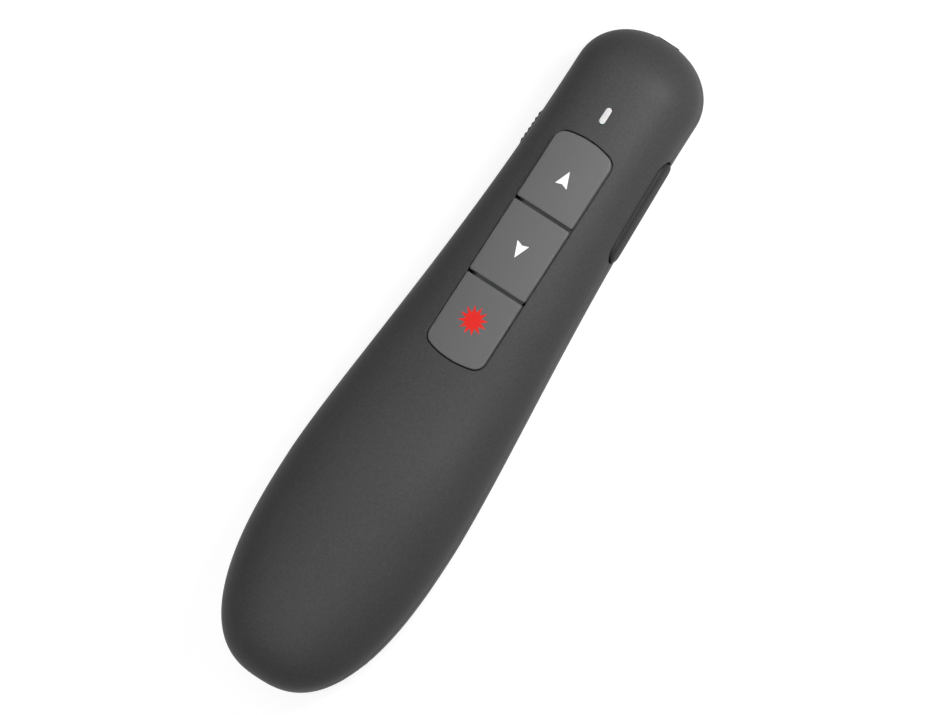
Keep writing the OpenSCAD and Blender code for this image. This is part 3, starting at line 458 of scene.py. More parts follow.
def slider_slot(skin, grow):
    r = SLIDER_CORNER
    a = arc(SLIDER_HIGH - r, SLIDER_HALF - r, r + grow, 0, 90, 1, 6)
    b = arc(SLIDER_LOW + r, SLIDER_HALF - r, r + grow, 90, 180, 1, 6)
    p = np.vstack([[(SLIDER_HIGH + grow, 0)], a, np.linspace(a[-1], b[0], 8)[1:-1], b,
                   [(SLIDER_LOW - grow, 0)]])
    return skin.from_side(p[:, 0], PARTING + skin.side * p[:, 1], True)


def ring_line(skin, radius):
    """Where the skin lies radius away from the beam's axis, row by row."""
    a = np.radians(ANGLES[::2])
    c = np.sign(np.cos(a)) * np.abs(np.cos(a)) ** (2 / skin.power)
    s = np.abs(np.sin(a)) ** (2 / skin.power)
    top = HALF - (WALL if skin.inner else 0)
    low, high = np.full(len(a), top - 3.0), np.full(len(a), top)
    for _ in range(50):
        mid = (low + high) / 2
        w, h = skin.section(mid)
        out = np.hypot(w * c, PARTING + skin.side * h * s - BARREL_Z) > radius
        low, high = np.where(out, mid, low), np.where(out, high, mid)
    return skin.pair(low, np.degrees(a))


def cover_line(skin, gap):
    """Edge of the battery cover on a skin, seen from below, from the front right round the tail."""
    half, front, wrap = COVER_HALF - gap, COVER_FRONT - gap, COVER_WRAP - gap
    side_z, top_z = COVER_SIDE_Z - gap, COVER_TOP_Z - gap

    def width_at(y, z):
        w, h = skin.section(y)
        t = np.clip((PARTING - z) / np.maximum(h, 1e-9), 0, 1)
        return w * (1 - t ** BELLY_POWER) ** (1 / BELLY_POWER)
    across = np.linspace(0, half, 15)[1:]
    first = skin.from_plan(across, np.full(14, front))
    ys = np.linspace(front, wrap, 46)[1:]
    sides = skin.from_plan(np.minimum(half, width_at(ys, side_z)), ys)
    climb = skin.from_side(np.full(5, wrap), np.linspace(side_z, top_z, 6)[1:], False)
    start = float(np.interp(climb[-1, 1], np.arange(ROWS + 1), ANGLES))
    a = start + (90 - start) * np.linspace(0, 1, 41)[1:] ** 0.8
    need = (PARTING - top_z) / np.sin(np.radians(a)) ** (2 / BELLY_POWER)
    low, high = np.full(40, skin.y[0]), np.full(40, float(wrap))
    for _ in range(50):
        mid = (low + high) / 2
        short = skin.section(mid)[1] < need
        low, high = np.where(short, mid, low), np.where(short, high, mid)
    around = skin.pair(high, a)
    right = np.vstack([first, sides, climb, around])
    left = right[-2::-1].copy()
    left[:, 1] = ROWS - left[:, 1]
    middle = skin.from_plan(np.array([0.0]), np.array([front]))
    return np.vstack([middle, right, left])


def free_points(step_u=1, step_v=1):
    """Even grid in the plane, with two more stations close to the tail's tip."""
    u, v = np.arange(0, STATIONS + 1, step_u), np.arange(0, ROWS + 1, step_v)
    return np.array([(a, b) for a in [*u, *TIP_STATIONS] for b in v], float)


def skin_faces(build, skin, openings, keep=None, step=(1, 1), grow=LIP):
    """Adds one skin. openings: (line, closed, kind), kind "out" drops what lies inside a closed
    line, "side" what lies between an open line and its row, "nose" what lies beyond it, and
    "keep" nothing. keep gives the ring that a piece of skin ends at."""
    lines, drops = [], []
    for line, closed, kind in openings:
        uv = line(skin, grow)
        lines.append((uv, closed))
        if kind == "out":
            drops.append(uv)
        elif kind == "side":
            v = -1 if uv[0, 1] < ROWS / 2 else ROWS + 1
            drops.append(np.vstack([uv, [(uv[-1, 0], v), (uv[0, 0], v)]]))
        elif kind == "nose":
            drops.append(np.vstack([uv, [(uv[-1, 0], ROWS + 1), (STATIONS + 1, ROWS + 1),
                                         (STATIONS + 1, -1), (uv[0, 0], -1)]]))
    flat, faces = tiles(free_points(*step), lines)
    middle = flat[faces].mean(1)
    good = np.ones(len(faces), bool) if keep is None else inside(middle, keep(skin, grow))
    for ring in drops:
        good &= ~inside(middle, ring)
    faces = faces[good]
    co, no = skin.point(flat)
    a, b, c = (co[faces[:, k]] for k in range(3))
    facing = np.einsum("ij,ij->i", np.cross(b - a, c - a), no[faces].sum(1))
    want = -1 if skin.inner else 1
    ids = build.add(co, None if skin.inner else no)
    for f, t in zip(faces, facing):
        build.tris(ids, [f], flip=t * want < 0)
    used = np.unique(faces)
    return flat[used], co[used], ids[used]


def lip(build, skin, line, closed, radius=LIP, steps=4, inward=1):
    """Rounded edge of an opening, or (inward -1) of a piece that ends at the line. Returns the ids
    and points of its last ring, and whether later strips turn round."""
    p1, n1 = skin.point(line(skin, inward * radius))
    p0, _ = skin.point(line(skin, 0))
    out, ids = unit(p0 - p1, 1e-9), []
    for k in range(steps + 1):
        t = math.pi / 2 * k / steps
        co = p1 + (p0 - p1) * math.sin(t) - n1 * radius * (1 - math.cos(t))
        ids.append(build.add(co, unit(n1 * math.cos(t) + out * math.sin(t)),
                             edge=math.sin(2 * t) ** 0.5 if 0 < k < steps else 0.0))
    m = len(p1) // 2
    a, b = p1[m], p1[(m + 1) % len(p1)]
    flip = float(np.dot(np.cross(b - a, p0[m] - a), n1[m])) < 0
    for a, b in zip(ids, ids[1:]):
        build.strip(a, b, closed, flip)
    return ids[-1], co, flip


def chain(build, start, rings, closed, flip):
    """Strips on from ids through more rings of points; returns the last ring's ids."""
    for r in rings:
        nxt = build.add(r)
        build.strip(start, nxt, closed, flip)
        start = nxt
    return start


def at_z(points, z):
    return np.column_stack([points[:, 0], points[:, 1], np.full(len(points), float(z))])


def zipped(build, a_co, a_id, b_co, b_id, up):
    """Flat band between two chains of points that run the same way along Y."""
    i = j = 0
    while i < len(a_id) - 1 or j < len(b_id) - 1:
        if j == len(b_id) - 1 or (i < len(a_id) - 1 and a_co[i + 1, 1] <= b_co[j + 1, 1]):
            f = (a_co[i], a_co[i + 1], b_co[j])
            g = [int(a_id[i]), int(a_id[i + 1]), int(b_id[j])]
            i += 1
        else:
            f = (a_co[i], b_co[j + 1], b_co[j])
            g = [int(a_id[i]), int(b_id[j + 1]), int(b_id[j])]
            j += 1
        turn = np.cross(f[1] - f[0], f[2] - f[0])[2]
        build.faces.append(g if (turn > 0) == up else g[::-1])


def rim(build, side, outer, inner):
    """Closes the wall at the parting plane, on both flanks and between the windows."""
    for v, left in ((0, False), (ROWS, True)):
        y0, y1 = ((SLIDER_LOW, SLIDER_HIGH) if left else
                  (ROCKER_Y - ROCKER_SLOT / 2, ROCKER_Y + ROCKER_SLOT / 2))
        chains = []
        for flat, co, ids in (outer, inner):
            on = np.abs(flat[:, 1] - v) < 1e-6
            order = np.argsort(co[on, 1])
            chains.append((co[on][order], ids[on][order]))
        for low, high in ((-99, (y0 + y1) / 2), ((y0 + y1) / 2, 99)):
            parts = []
            for co, ids in chains:
                pick = (co[:, 1] > low) & (co[:, 1] < high)
                parts.append((co[pick], ids[pick]))
            zipped(build, *parts[0], *parts[1], up=side < 0)


# ---- Materials -------------------------------------------------------------------------------
def wire(tree, value, socket):
    """Links a socket's value to a node, or sets it as a constant."""
    if isinstance(value, bpy.types.NodeSocket):
        tree.links.new(value, socket)
    else:
        socket.default_value = value


def add_node(tree, kind, inputs=(), **settings):
    n = tree.nodes.new("ShaderNode" + kind)
    for k, v in settings.items():
        setattr(n, k, v)
    for k, v in dict(inputs).items():
        wire(tree, v, n.inputs[k])
    return n


class Nodes:
    """Short hand for building a material's nodes."""

    def __init__(self, name):
        self.material = bpy.data.materials.new(name)
        self.material.use_nodes = True
        self.tree = self.material.node_tree
        self.shader = self.tree.nodes["Principled BSDF"]
        self.coords = self.tree.nodes.new("ShaderNodeTexCoord").outputs["Object"]

    def node(self, kind, inputs=(), **settings):
        return add_node(self.tree, kind, inputs, **settings)

    def noise(self, size_mm, detail=2.0, rough=0.5, stretch=None):
        at = self.coords
        if stretch:
            at = self.node("Mapping", {"Vector": at, "Scale": stretch}).outputs[0]
        return self.node("TexNoise", {"Vector": at, "Scale": 1000 / size_mm, "Detail": detail,
                                      "Roughness": rough}).outputs["Fac"]

    def math(self, operation, a, b):
        return self.node("Math", {0: a, 1: b}, operation=operation).outputs[0]

    def ranged(self, value, a, b, c, d):
        return self.node("MapRange", {"Value": value, "From Min": a, "From Max": b, "To Min": c,
                                      "To Max": d}).outputs[0]

    def mix(self, factor, a, b):
        """Mix of two colours."""
        return self.node("Mix", {0: factor, 6: a, 7: b}, data_type="RGBA").outputs[2]

    def edge(self):
        return self.node("Attribute", attribute_name="edge").outputs["Fac"]

    def bump(self, height, distance_mm):
        inputs = {"Height": height, "Distance": distance_mm * MM, "Strength": 1.0}
        return self.node("Bump", inputs).outputs[0]

    def set(self, **sockets):
        for k, v in sockets.items():
            wire(self.tree, v, self.shader.inputs[k.replace("_", " ")])
        return self.material


def grey(v):
    return (v, v, v, 1)


def scaled(colour, factor):
    return tuple(np.array(colour[:3]) * factor) + (1,)


def moulded(name, colour, rough=0.5, grain=0.28, depth=0.012, mottle=0.08, specular=0.5, wear=0.25,
            clouds=0.05):
    """Moulded plastic: spark-eroded grain, faint flow clouds and edges rubbed a little smoother."""
    m = Nodes(name)
    fine = m.noise(grain, 3.0, 0.6)
    finer = m.noise(grain * 0.4, 1.0, 0.5)
    cloud = m.noise(14, 3.0, 0.55)
    base = m.mix(m.ranged(fine, 0.3, 0.7, 0, 1), scaled(colour, 1 - mottle), scaled(colour, 1 + mottle))
    cloudy = m.mix(m.ranged(cloud, 0.35, 0.65, 0, 1), scaled(colour, 1 - clouds),
                   scaled(colour, 1 + clouds))
    base = m.mix(0.5, base, cloudy)
    worn = tuple(np.minimum(np.array(colour[:3]) * 1.5 + 0.02, 1)) + (1,)
    patchy = m.math("MULTIPLY", m.edge(), m.ranged(m.noise(2.2, 3.0, 0.6), 0.35, 0.7, 0, wear))
    base = m.mix(patchy, base, worn)
    roughness = m.math("ADD", m.ranged(cloud, 0.3, 0.7, rough - 0.035, rough + 0.035),
                       m.ranged(finer, 0.3, 0.7, -0.03, 0.03))
    roughness = m.math("SUBTRACT", roughness, m.math("MULTIPLY", patchy, 0.4))
    height = m.math("ADD", m.math("MULTIPLY", fine, 0.7), m.math("MULTIPLY", finer, 0.3))
    return m.set(Base_Color=base, Roughness=roughness, Normal=m.bump(height, depth),
                 Specular_IOR_Level=specular)


def metal(name, colour, rough=0.3, brush=0.06):
    """Plated or machined metal with fine brushing along Y and dull patches."""
    m = Nodes(name)
    lines = m.noise(0.15, 2.0, 0.6, stretch=(1, brush, 1))
    patch = m.noise(3.5, 3.0, 0.6)
    base = m.mix(m.ranged(patch, 0.3, 0.7, 0, 1), scaled(colour, 0.94), scaled(colour, 1.03))
    roughness = m.math("ADD", m.ranged(lines, 0.3, 0.7, rough - 0.05, rough + 0.05),
                       m.ranged(patch, 0.3, 0.7, -0.02, 0.03))
    return m.set(Base_Color=base, Metallic=1.0, Roughness=roughness, Normal=m.bump(lines, 0.002))


shell = moulded("shell_plastic", grey(0.056), rough=0.5, specular=0.12, grain=0.34, mottle=0.28,
                depth=0.022, wear=0.08)
key_grey = moulded("key_plastic", grey(0.109), rough=0.6, grain=0.28, mottle=0.1,
                   specular=0.35, depth=0.009)
control = moulded("control_plastic", grey(0.03), rough=0.58, grain=0.25, specular=0.16, wear=0.08)
inner_black = moulded("inner_plastic", grey(0.018), rough=0.45, grain=0.6, depth=0.006)
chip_black = moulded("chip_plastic", grey(0.014), rough=0.55, grain=0.12, depth=0.006)
button_pale = moulded("button_plastic", (0.5, 0.48, 0.42, 1), rough=0.45, grain=0.5, depth=0.004)
gloss = moulded("gloss_trim", grey(0.012), rough=0.22, grain=0.9, depth=0.003, mottle=0.04, wear=0.1)
ink_white = moulded("ink_white", grey(0.93), rough=0.5, grain=0.2, mottle=0.03, clouds=0.02, wear=0)
ink_red = moulded("ink_red", (0.68, 0.02, 0.015, 1), rough=0.6, grain=0.2, mottle=0.05,
                  specular=0.15, wear=0)
light_milky = moulded("light_plastic", grey(0.6), rough=0.4, grain=0.4, depth=0.003, mottle=0.03)
milky_inputs = light_milky.node_tree.nodes["Principled BSDF"].inputs
milky_inputs["Subsurface Weight"].default_value = 0.3
milky_inputs["Subsurface Scale"].default_value = 0.5 * MM
steel = metal("plated_steel", (0.56, 0.57, 0.58), rough=0.3)
screw_black = metal("screw_steel", (0.07, 0.07, 0.072), rough=0.42)
brass = metal("brass", (0.6, 0.42, 0.16), rough=0.28, brush=0.05)


def board_material():
    m = Nodes("board")
    weave = m.node("TexChecker", {"Vector": m.coords, "Scale": 2200}).outputs["Fac"]
    patch = m.noise(2.5, 3.0, 0.6)
    base = m.mix(m.ranged(patch, 0.45, 0.6, 0, 1), (0.006, 0.03, 0.014, 1), (0.009, 0.048, 0.02, 1))
    base = m.mix(m.math("MULTIPLY", weave, 0.12), base, (0.014, 0.07, 0.034, 1))
    return m.set(Base_Color=base, Roughness=m.ranged(patch, 0.3, 0.7, 0.28, 0.42),
                 Normal=m.bump(weave, 0.004), Coat_Weight=0.3)


def sleeve_material():
    """Plain printed cell sleeve: a blue body with a silver band at each end."""
    m = Nodes("cell_can")
    y = m.node("SeparateXYZ", {"Vector": m.coords}).outputs[1]
    wobble = m.noise(0.5, 3.0, 0.6)
    away_y = m.math("ABSOLUTE", m.math("ADD", y, CELL_MIDDLE * MM), 0.0)
    ends = m.ranged(away_y, BLUE_HALF * MM, (BLUE_HALF + 0.2) * MM, 0, 1)
    base = m.mix(ends, (0.03, 0.10, 0.23, 1), (0.5, 0.51, 0.53, 1))
    base = m.mix(m.ranged(wobble, 0.3, 0.8, 0, 0.3), base, (0.10, 0.16, 0.24, 1))
    return m.set(Base_Color=base, Metallic=0.6, Roughness=m.ranged(wobble, 0.3, 0.7, 0.28, 0.4),
                 Normal=m.bump(wobble, 0.01))


def glass_material(name, colour, rough):
    m = Nodes(name)
    smear = m.noise(0.8, 3.0, 0.6)
    base = m.mix(m.ranged(smear, 0.3, 0.7, 0, 0.3), colour, scaled(colour, 0.9))
    return m.set(Base_Color=base, Roughness=m.ranged(smear, 0.3, 0.8, rough, rough + 0.08),
                 Transmission_Weight=0.9, IOR=1.49, Normal=m.bump(smear, 0.002))


board = board_material()
sleeve = sleeve_material()
clear_glass = glass_material("clear_lens", (0.8, 0.86, 0.88, 1), 0.05)
red_glass = glass_material("window_glass", (0.32, 0.02, 0.02, 1), 0.06)

# ---- The two shells and the battery cover ----------------------------------------------------
upper, upper_in = Skin(1), Skin(1, True)
lower, lower_in = Skin(-1), Skin(-1, True)


pad_line = plan_line(lambda grow: pad_points(KEY_GAP + grow))
recess_line = plan_line(lambda grow: pad_points(FLANGE + CLEAR))
light_line = plan_line(lambda grow: pill(LIGHT_Y, LIGHT_LENGTH, LIGHT_WIDTH, grow))


def nose_line(skin, grow):
    return ring_line(skin, (BEAM_RADIUS if skin.inner else RING_RADIUS) + grow)


WINDOWS = [(rocker_slot, False, "side"), (slider_slot, False, "side"), (nose_line, False, "nose")]


def window_walls(build, skin, skin_in):
    """Edges and walls of the two side windows and of the hole for the beam."""
    for line in (rocker_slot, slider_slot):
        last, _, flip = lip(build, skin, line, False)
        chain(build, last, [skin_in.point(line(skin_in, 0))[0]], False, flip)
    last, co, flip = lip(build, skin, nose_line, False)
    spoke = co[:, [0, 2]] - np.array([0, BARREL_Z])
    spoke *= BEAM_RADIUS / np.linalg.norm(spoke, axis=1, keepdims=True)
    back = co.copy()
    back[:, 1] = RING_BACK
    step = np.column_stack([spoke[:, 0], np.full(len(co), RING_BACK), BARREL_Z + spoke[:, 1]])
    chain(build, last, [back, step, skin_in.point(nose_line(skin_in, 0))[0]], False, flip)


def make_upper():
    b = Build()
    light = (light_line, True, "out")
    outer = skin_faces(b, upper, [(pad_line, True, "out"), light] + WINDOWS)
    inner = skin_faces(b, upper_in, [(recess_line, True, "out"), light] + WINDOWS, step=(3, 2), grow=0)
    last, co, flip = lip(b, upper, pad_line, True)
    wide = pad_points(FLANGE + CLEAR)
    chain(b, last, [at_z(co, LAND), at_z(wide, LAND), upper_in.point(recess_line(upper_in, 0))[0]],
          True, flip)
    last, _, flip = lip(b, upper, light_line, True)
    chain(b, last, [upper_in.point(light_line(upper_in, 0))[0]], True, flip)
    window_walls(b, upper, upper_in)
    rim(b, 1, outer, inner)
    return b.piece("shell_top", "housing", "shell_plastic", [shell], ["upper_shell"])


T_RIGHT = [(SCOOP_HALF, DOCK_BACK), (GRIP_HALF, DOCK_BACK), (GRIP_HALF, GRIP_FRONT),
           (PLUG_HALF, GRIP_FRONT), (PLUG_HALF, PLUG_FRONT)]
T_CORNERS = T_RIGHT + [(-x, y) for x, y in T_RIGHT[::-1]]
SCOOP_START = DOCK_BACK - math.sqrt(SCOOP_RADIUS ** 2 - (SCOOP_DROP + LIP) ** 2)
DOCK_CORNERS = T_CORNERS + [(-SCOOP_HALF, SCOOP_START), (SCOOP_HALF, SCOOP_START)]


def scoop_z(y):
    return -SCOOP_DROP + np.sqrt(SCOOP_RADIUS ** 2 - (y - DOCK_BACK) ** 2)


dock_line = plan_line(lambda grow: corners_grown(DOCK_CORNERS, grow))
dock_rib_line = plan_line(lambda grow: corners_grown(T_CORNERS, RIB_WALL))


def screw_line(x, y, radius):
    return plan_line(lambda grow: circle(x, y, radius + grow))


def cover_hole(skin, grow):
    return cover_line(skin, -grow)


def make_lower():
    b = Build()
    places = [(side * x, y, z) for x, y, z in SCREWS for side in (-1, 1)]
    shared = WINDOWS + [(cover_hole, True, "out")]
    outer = skin_faces(b, lower, shared + [(dock_line, True, "out")] + [
        (screw_line(x, y, RECESS_RADIUS), True, "out") for x, y, z in places])
    inner = skin_faces(b, lower_in, shared + [(dock_rib_line, True, "out")] + [
        (screw_line(x, y, FOOT_RADIUS), True, "out") for x, y, z in places], step=(3, 2), grow=0)
    window_walls(b, lower, lower_in)
    rim(b, -1, outer, inner)
    last, _, flip = lip(b, lower, cover_hole, True)
    chain(b, last, [lower_in.point(cover_hole(lower_in, 0))[0]], True, flip)
    # Pocket for the receiver, with a finger scoop behind it
    last, _, flip = lip(b, lower, dock_line, True)
    plan = corners_grown(DOCK_CORNERS, 0)
    n_t = int(np.argmin(np.linalg.norm(plan - np.array([-SCOOP_HALF, DOCK_BACK]), axis=1)))
    chain(b, last[:n_t + 1], [at_z(plan[:n_t + 1], DOCK_TOP)], False, flip)
    around = np.vstack([plan[n_t:], plan[:1]])
    up = np.column_stack([around, scoop_z(np.maximum(around[:, 1], SCOOP_START))])
    chain(b, np.append(last[n_t:], last[0]), [up], False, flip)
    ys = np.linspace(SCOOP_START, DOCK_BACK, 13)
    right = np.column_stack([np.full(13, SCOOP_HALF), ys, scoop_z(ys)])
    b.rings([right * (-1, 1, 1), right], closed=False)
    b.rings([[(-SCOOP_HALF, DOCK_BACK, scoop_z(DOCK_BACK)), (-SCOOP_HALF, DOCK_BACK, DOCK_TOP)],
             [(SCOOP_HALF, DOCK_BACK, scoop_z(DOCK_BACK)), (SCOOP_HALF, DOCK_BACK, DOCK_TOP)]],
            closed=False, flip=True)
    fill(b, at_z(corners_grown(T_CORNERS, 0), DOCK_TOP), up=False)
    rib = at_z(corners_grown(T_CORNERS, RIB_WALL), DOCK_TOP + RIB_WALL)
    b.rings([lower_in.point(dock_rib_line(lower_in, 0))[0], rib], flip=True)
    fill(b, rib)
    # Screw recesses
    for x, y, z in places:
        line = screw_line(x, y, RECESS_RADIUS)
        last, _, flip = lip(b, lower, line, True, radius=SCREW_LIP)
        shaft, bore = circle(x, y, SHAFT_RADIUS), circle(x, y, FOOT_BORE)
        chain(b, last, [at_z(circle(x, y, RECESS_RADIUS), z), at_z(shaft, z), at_z(shaft, PARTING)],
              True, flip)
        foot = screw_line(x, y, FOOT_RADIUS)
        b.rings([lower_in.point(foot(lower_in, 0))[0], at_z(circle(x, y, FOOT_RADIUS), z + FOOT_DEPTH),
                 at_z(bore, z + FOOT_DEPTH), at_z(bore, PARTING - SEAM), at_z(shaft, PARTING - SEAM)],
                flip=True)
    return b.piece("shell_base", "housing", "shell_plastic", [shell], ["lower_shell"])


def cover_edge(skin, grow):
    """Edge of the cover's own skin, a clearance inside the opening; grow -LIP is further in."""
    return cover_line(skin, CLEAR - grow)


def groove_line(y):
    """Outline of a thumb groove, and half its width along Y."""
    half, long = math.sqrt(GROOVE_RADIUS ** 2 - (GROOVE_RADIUS - GROOVE_DEPTH) ** 2), GROOVE_HALF
    corners = [(long, y - half), (long, y + half), (-long, y + half), (-long, y - half)]
    return plan_line(lambda grow: corners_grown(corners, grow)), half


def cover_boxes(build):
    """Latch plate, the tongue on it, the nib in the gap before the cover, and the hook at the tail."""
    front, side, top = COVER_FRONT - CLEAR, LATCH_HALF - 0.02, LATCH_TOP - 0.01
    build.box((-LATCH_HALF, LATCH_BACK, LATCH_LOW), (LATCH_HALF, front, LATCH_TOP))
    build.box((-side, LATCH_BACK + 0.2, TONGUE_LOW), (side, TONGUE_FRONT, top))
    build.box((-NIB_HALF, front - NIB_LONG, NIB_LOW), (NIB_HALF, COVER_FRONT - 0.02, TONGUE_LOW), 0.05)
    build.box((-HOOK_HALF, HOOK_Y[0], HOOK_Z[0]), (HOOK_HALF, HOOK_Y[1], HOOK_Z[1]))


def make_cover():
    b = Build()
    ys = [BELLY_Y - GROOVES * GROOVE_PITCH + k * GROOVE_PITCH for k in range(GROOVES)]
    skin_faces(b, lower, [(lambda s, g: cover_edge(s, -LIP), True, "keep")] + [
        (lambda s, g, y=y: groove_line(y)[0](s, GROOVE_LIP), True, "out") for y in ys],
        keep=lambda s, g: cover_edge(s, -LIP))
    skin_faces(b, lower_in, [(lambda s, g: cover_edge(s, 0), True, "keep")],
               keep=lambda s, g: cover_edge(s, 0), step=(3, 2))
    last, _, flip = lip(b, lower, cover_edge, True, inward=-1)
    chain(b, last, [lower_in.point(cover_edge(lower_in, 0))[0]], True, flip)
    for y in ys:
        line, half = groove_line(y)
        lip(b, lower, line, True, radius=GROOVE_LIP, steps=3)
        t = np.linspace(-1, 1, 11) * math.asin(half / GROOVE_RADIUS)
        arc_z = GROOVE_DEPTH - GROOVE_RADIUS + GROOVE_RADIUS * np.cos(t)
        left = np.column_stack([np.full(11, -GROOVE_HALF), y + GROOVE_RADIUS * np.sin(t),
                                np.maximum(arc_z, GROOVE_FLOOR)])
        b.rings([left, left * (-1, 1, 1)], closed=False)
        for side in (-1, 1):
            ids = b.add(left * (-side, 1, 1))
            foot = b.add([(side * GROOVE_HALF, y, GROOVE_FLOOR)])
            for k in range(10):
                g = [int(ids[k]), int(ids[k + 1]), int(foot[0])]
                b.faces.append(g if side < 0 else g[::-1])
    cover_boxes(b)
    return b.piece("cover_panel", "cover", "shell_plastic", [shell], ["battery_cover"])


make_upper()
make_lower()
make_cover()


# ---- Keys ------------------------------------------------------------------------------------
def crown(points):
    return KEY_TOP - KEY_CROWN + np.sqrt(KEY_CROWN ** 2 - points[:, 0] ** 2)


def crown_normal(points):
    return unit(np.column_stack([points[:, 0] / KEY_CROWN, np.zeros(len(points)), np.ones(len(points))]))


def dart(x, y, turn):
    """Arrow head with a notched tail; turn 1 points to the laser end."""
    shape = np.array([(0.0, 1.4), (-1.15, -1.4), (0.0, -1.0), (1.15, -1.4)])
    return shape * (1, turn) + (x, y)


def burst(x, y, points=12, outer=2.68, inner=1.42, turn=-4):
    a = np.radians(90 + turn + np.arange(2 * points) * 180 / points)
    r = np.where(np.arange(2 * points) % 2, inner, outer)
    return np.column_stack([x + r * np.cos(a), y + r * np.sin(a)])


def make_key(index, name, body, mark, ink):
    """Hollow key cap with its flange and stem, and the printed mark as its own thin piece."""
    b, ink_build, steps = Build(), Build(), 5
    outline, flange = key_points(index, 0, 0), key_points(index, FLANGE, 0)
    rings = [b.add(at_z(flange, FLANGE_LOW)), b.add(at_z(flange, FLANGE_HIGH)),
             b.add(at_z(outline, FLANGE_HIGH))]
    across = unit(outline - key_points(index, -0.05, -0.05))
    for k in range(steps + 1):
        t = math.pi / 2 * k / steps
        inset = KEY_EDGE * (1 - math.cos(t))
        p = key_points(index, -inset, -inset)
        z = crown(p) - KEY_EDGE * (1 - math.sin(t))
        n = np.column_stack([across * math.cos(t), np.zeros(len(p))]) + crown_normal(p) * math.sin(t)
        rings.append(b.add(np.column_stack([p, z]), unit(n), edge=1.0 if 1 < k < steps else 0.0))
    for a, c in zip(rings, rings[1:]):
        b.strip(a, c)
    plan = key_points(index, -KEY_EDGE, -KEY_EDGE)
    xs, ys = np.arange(-5.4, 5.5, 0.6), np.arange(plan[:, 1].min() + 0.3, plan[:, 1].max(), 0.6)
    free = np.array([(x, y) for x in xs for y in ys])
    flat, faces = tiles(free[inside(free, plan)], [(plan, True), (mark, True)], 0.2)
    co, no = np.column_stack([flat, crown(flat)]), crown_normal(flat)
    middle = flat[faces].mean(1)
    on_key, on_mark = inside(middle, plan), inside(middle, mark)
    turn = turns(flat, faces)
    for target, pick in ((b, on_key & ~on_mark), (ink_build, on_mark)):
        top = target.add(co, no)
        for f, t in zip(faces[pick], turn[pick]):
            target.tris(top, [f], flip=t < 0)
    hollow, roof = key_points(index, -KEY_WALL, -KEY_WALL), KEY_TOP - KEY_ROOF
    b.rings([at_z(flange, FLANGE_LOW), at_z(hollow, FLANGE_LOW), at_z(hollow, roof)], flip=True)
    fill(b, at_z(hollow, roof), up=False)
    stem = circle(0, KEY_Y[index], STEM_RADIUS)
    b.rings([at_z(stem, roof), at_z(stem, STEM_LOW)], flip=True)
    fill(b, at_z(stem, STEM_LOW), up=False)
    b.piece("cap_" + body, body, "key_plastic", [key_grey], [name])
    ink_build.piece("mark_" + body, body, "key_plastic", [ink])


make_key(0, "key_forward", "forward", dart(0.12, 34.76, 1), ink_white)
make_key(1, "key_back", "back", dart(0.07, 20.48, -1), ink_white)
make_key(2, "key_laser", "laser", burst(0.0, 6.5), ink_red)


def make_slider():
    """Ribbed thumb piece of the power switch, with its shield and fork."""
    b = Build()
    half, r = THUMB_LENGTH / 2, THUMB_EDGE
    along = np.linspace(-half, half, THUMB_STEPS + 1)
    wave = (1 + np.cos(2 * math.pi * (along / RIB_PITCH + (RIBS + 1) / 2))) / 2
    wave[np.abs(along) > RIBS * RIB_PITCH / 2] = 0
    end = np.clip(1 - (half - np.abs(along)) / r, 0, 1)
    out = (half_width(along + THUMB_Y) + THUMB_PROUD + RIB_HIGH * wave
           - r * (1 - np.sqrt(1 - end ** 2)))
    turn = np.radians(np.linspace(90, 0, 6))
    rise = np.concatenate([THUMB_HALF - r * (1 - np.sin(turn)), [0]])
    back = np.concatenate([r * (1 - np.cos(turn)), [0]])
    rise, back = np.concatenate([-rise, rise[-2::-1]]), np.concatenate([back, back[-2::-1]])
    sections = []
    for y, x in zip(along + THUMB_Y, out):
        front = np.column_stack([back - x, np.full(len(rise), y), PARTING + rise])
        sections.append(np.vstack([[(-SHIELD_X, y, PARTING - THUMB_HALF)], front,
                                   [(-SHIELD_X, y, PARTING + THUMB_HALF)]]))
    ids = b.rings(sections)
    b.faces += [[int(k) for k in ids[0][::-1]], [int(k) for k in ids[-1]]]
    b.box((-SHIELD_X, THUMB_Y - SHIELD_HALF, PARTING - SHIELD_HIGH),
          (SHIELD_THICK - SHIELD_X, THUMB_Y + SHIELD_HALF, PARTING + SHIELD_HIGH), 0.1)
    for y in (THUMB_Y - FORK_Y, THUMB_Y + FORK_Y):
        b.box((FORK_X[0] - SHIELD_X, y - FORK_HALF, FORK_Z[0]),
              (FORK_X[1] - SHIELD_X, y + FORK_HALF, FORK_Z[1]), 0.1)
    b.piece("thumb_slider", "power", "control_plastic", [control], ["power_slider"])


make_slider()


# ---- CAD nodes that show as they are: rounded edges and their materials -----------------------
def dress(name, material, width):
    """Rounds a CAD node's edges by width and gives it its material."""
    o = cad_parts[name]
    me = o.data
    if "custom_normal" in me.attributes:
        me.attributes.remove(me.attributes["custom_normal"])
    me.shade_smooth()
    me.materials.clear()
    me.materials.append(material)
    weld = o.modifiers.new("weld", "WELD")
    weld.merge_threshold = 2e-6
    if width:
        bevel = o.modifiers.new("bevel", "BEVEL")
        bevel.width, bevel.segments = width * MM, 3
        bevel.limit_method, bevel.angle_limit = "ANGLE", math.radians(32)
        bevel.use_clamp_overlap = True
        bevel.harden_normals = False
    smooth = o.modifiers.new("normals", "WEIGHTED_NORMAL")
    smooth.weight, smooth.keep_sharp = 60, False


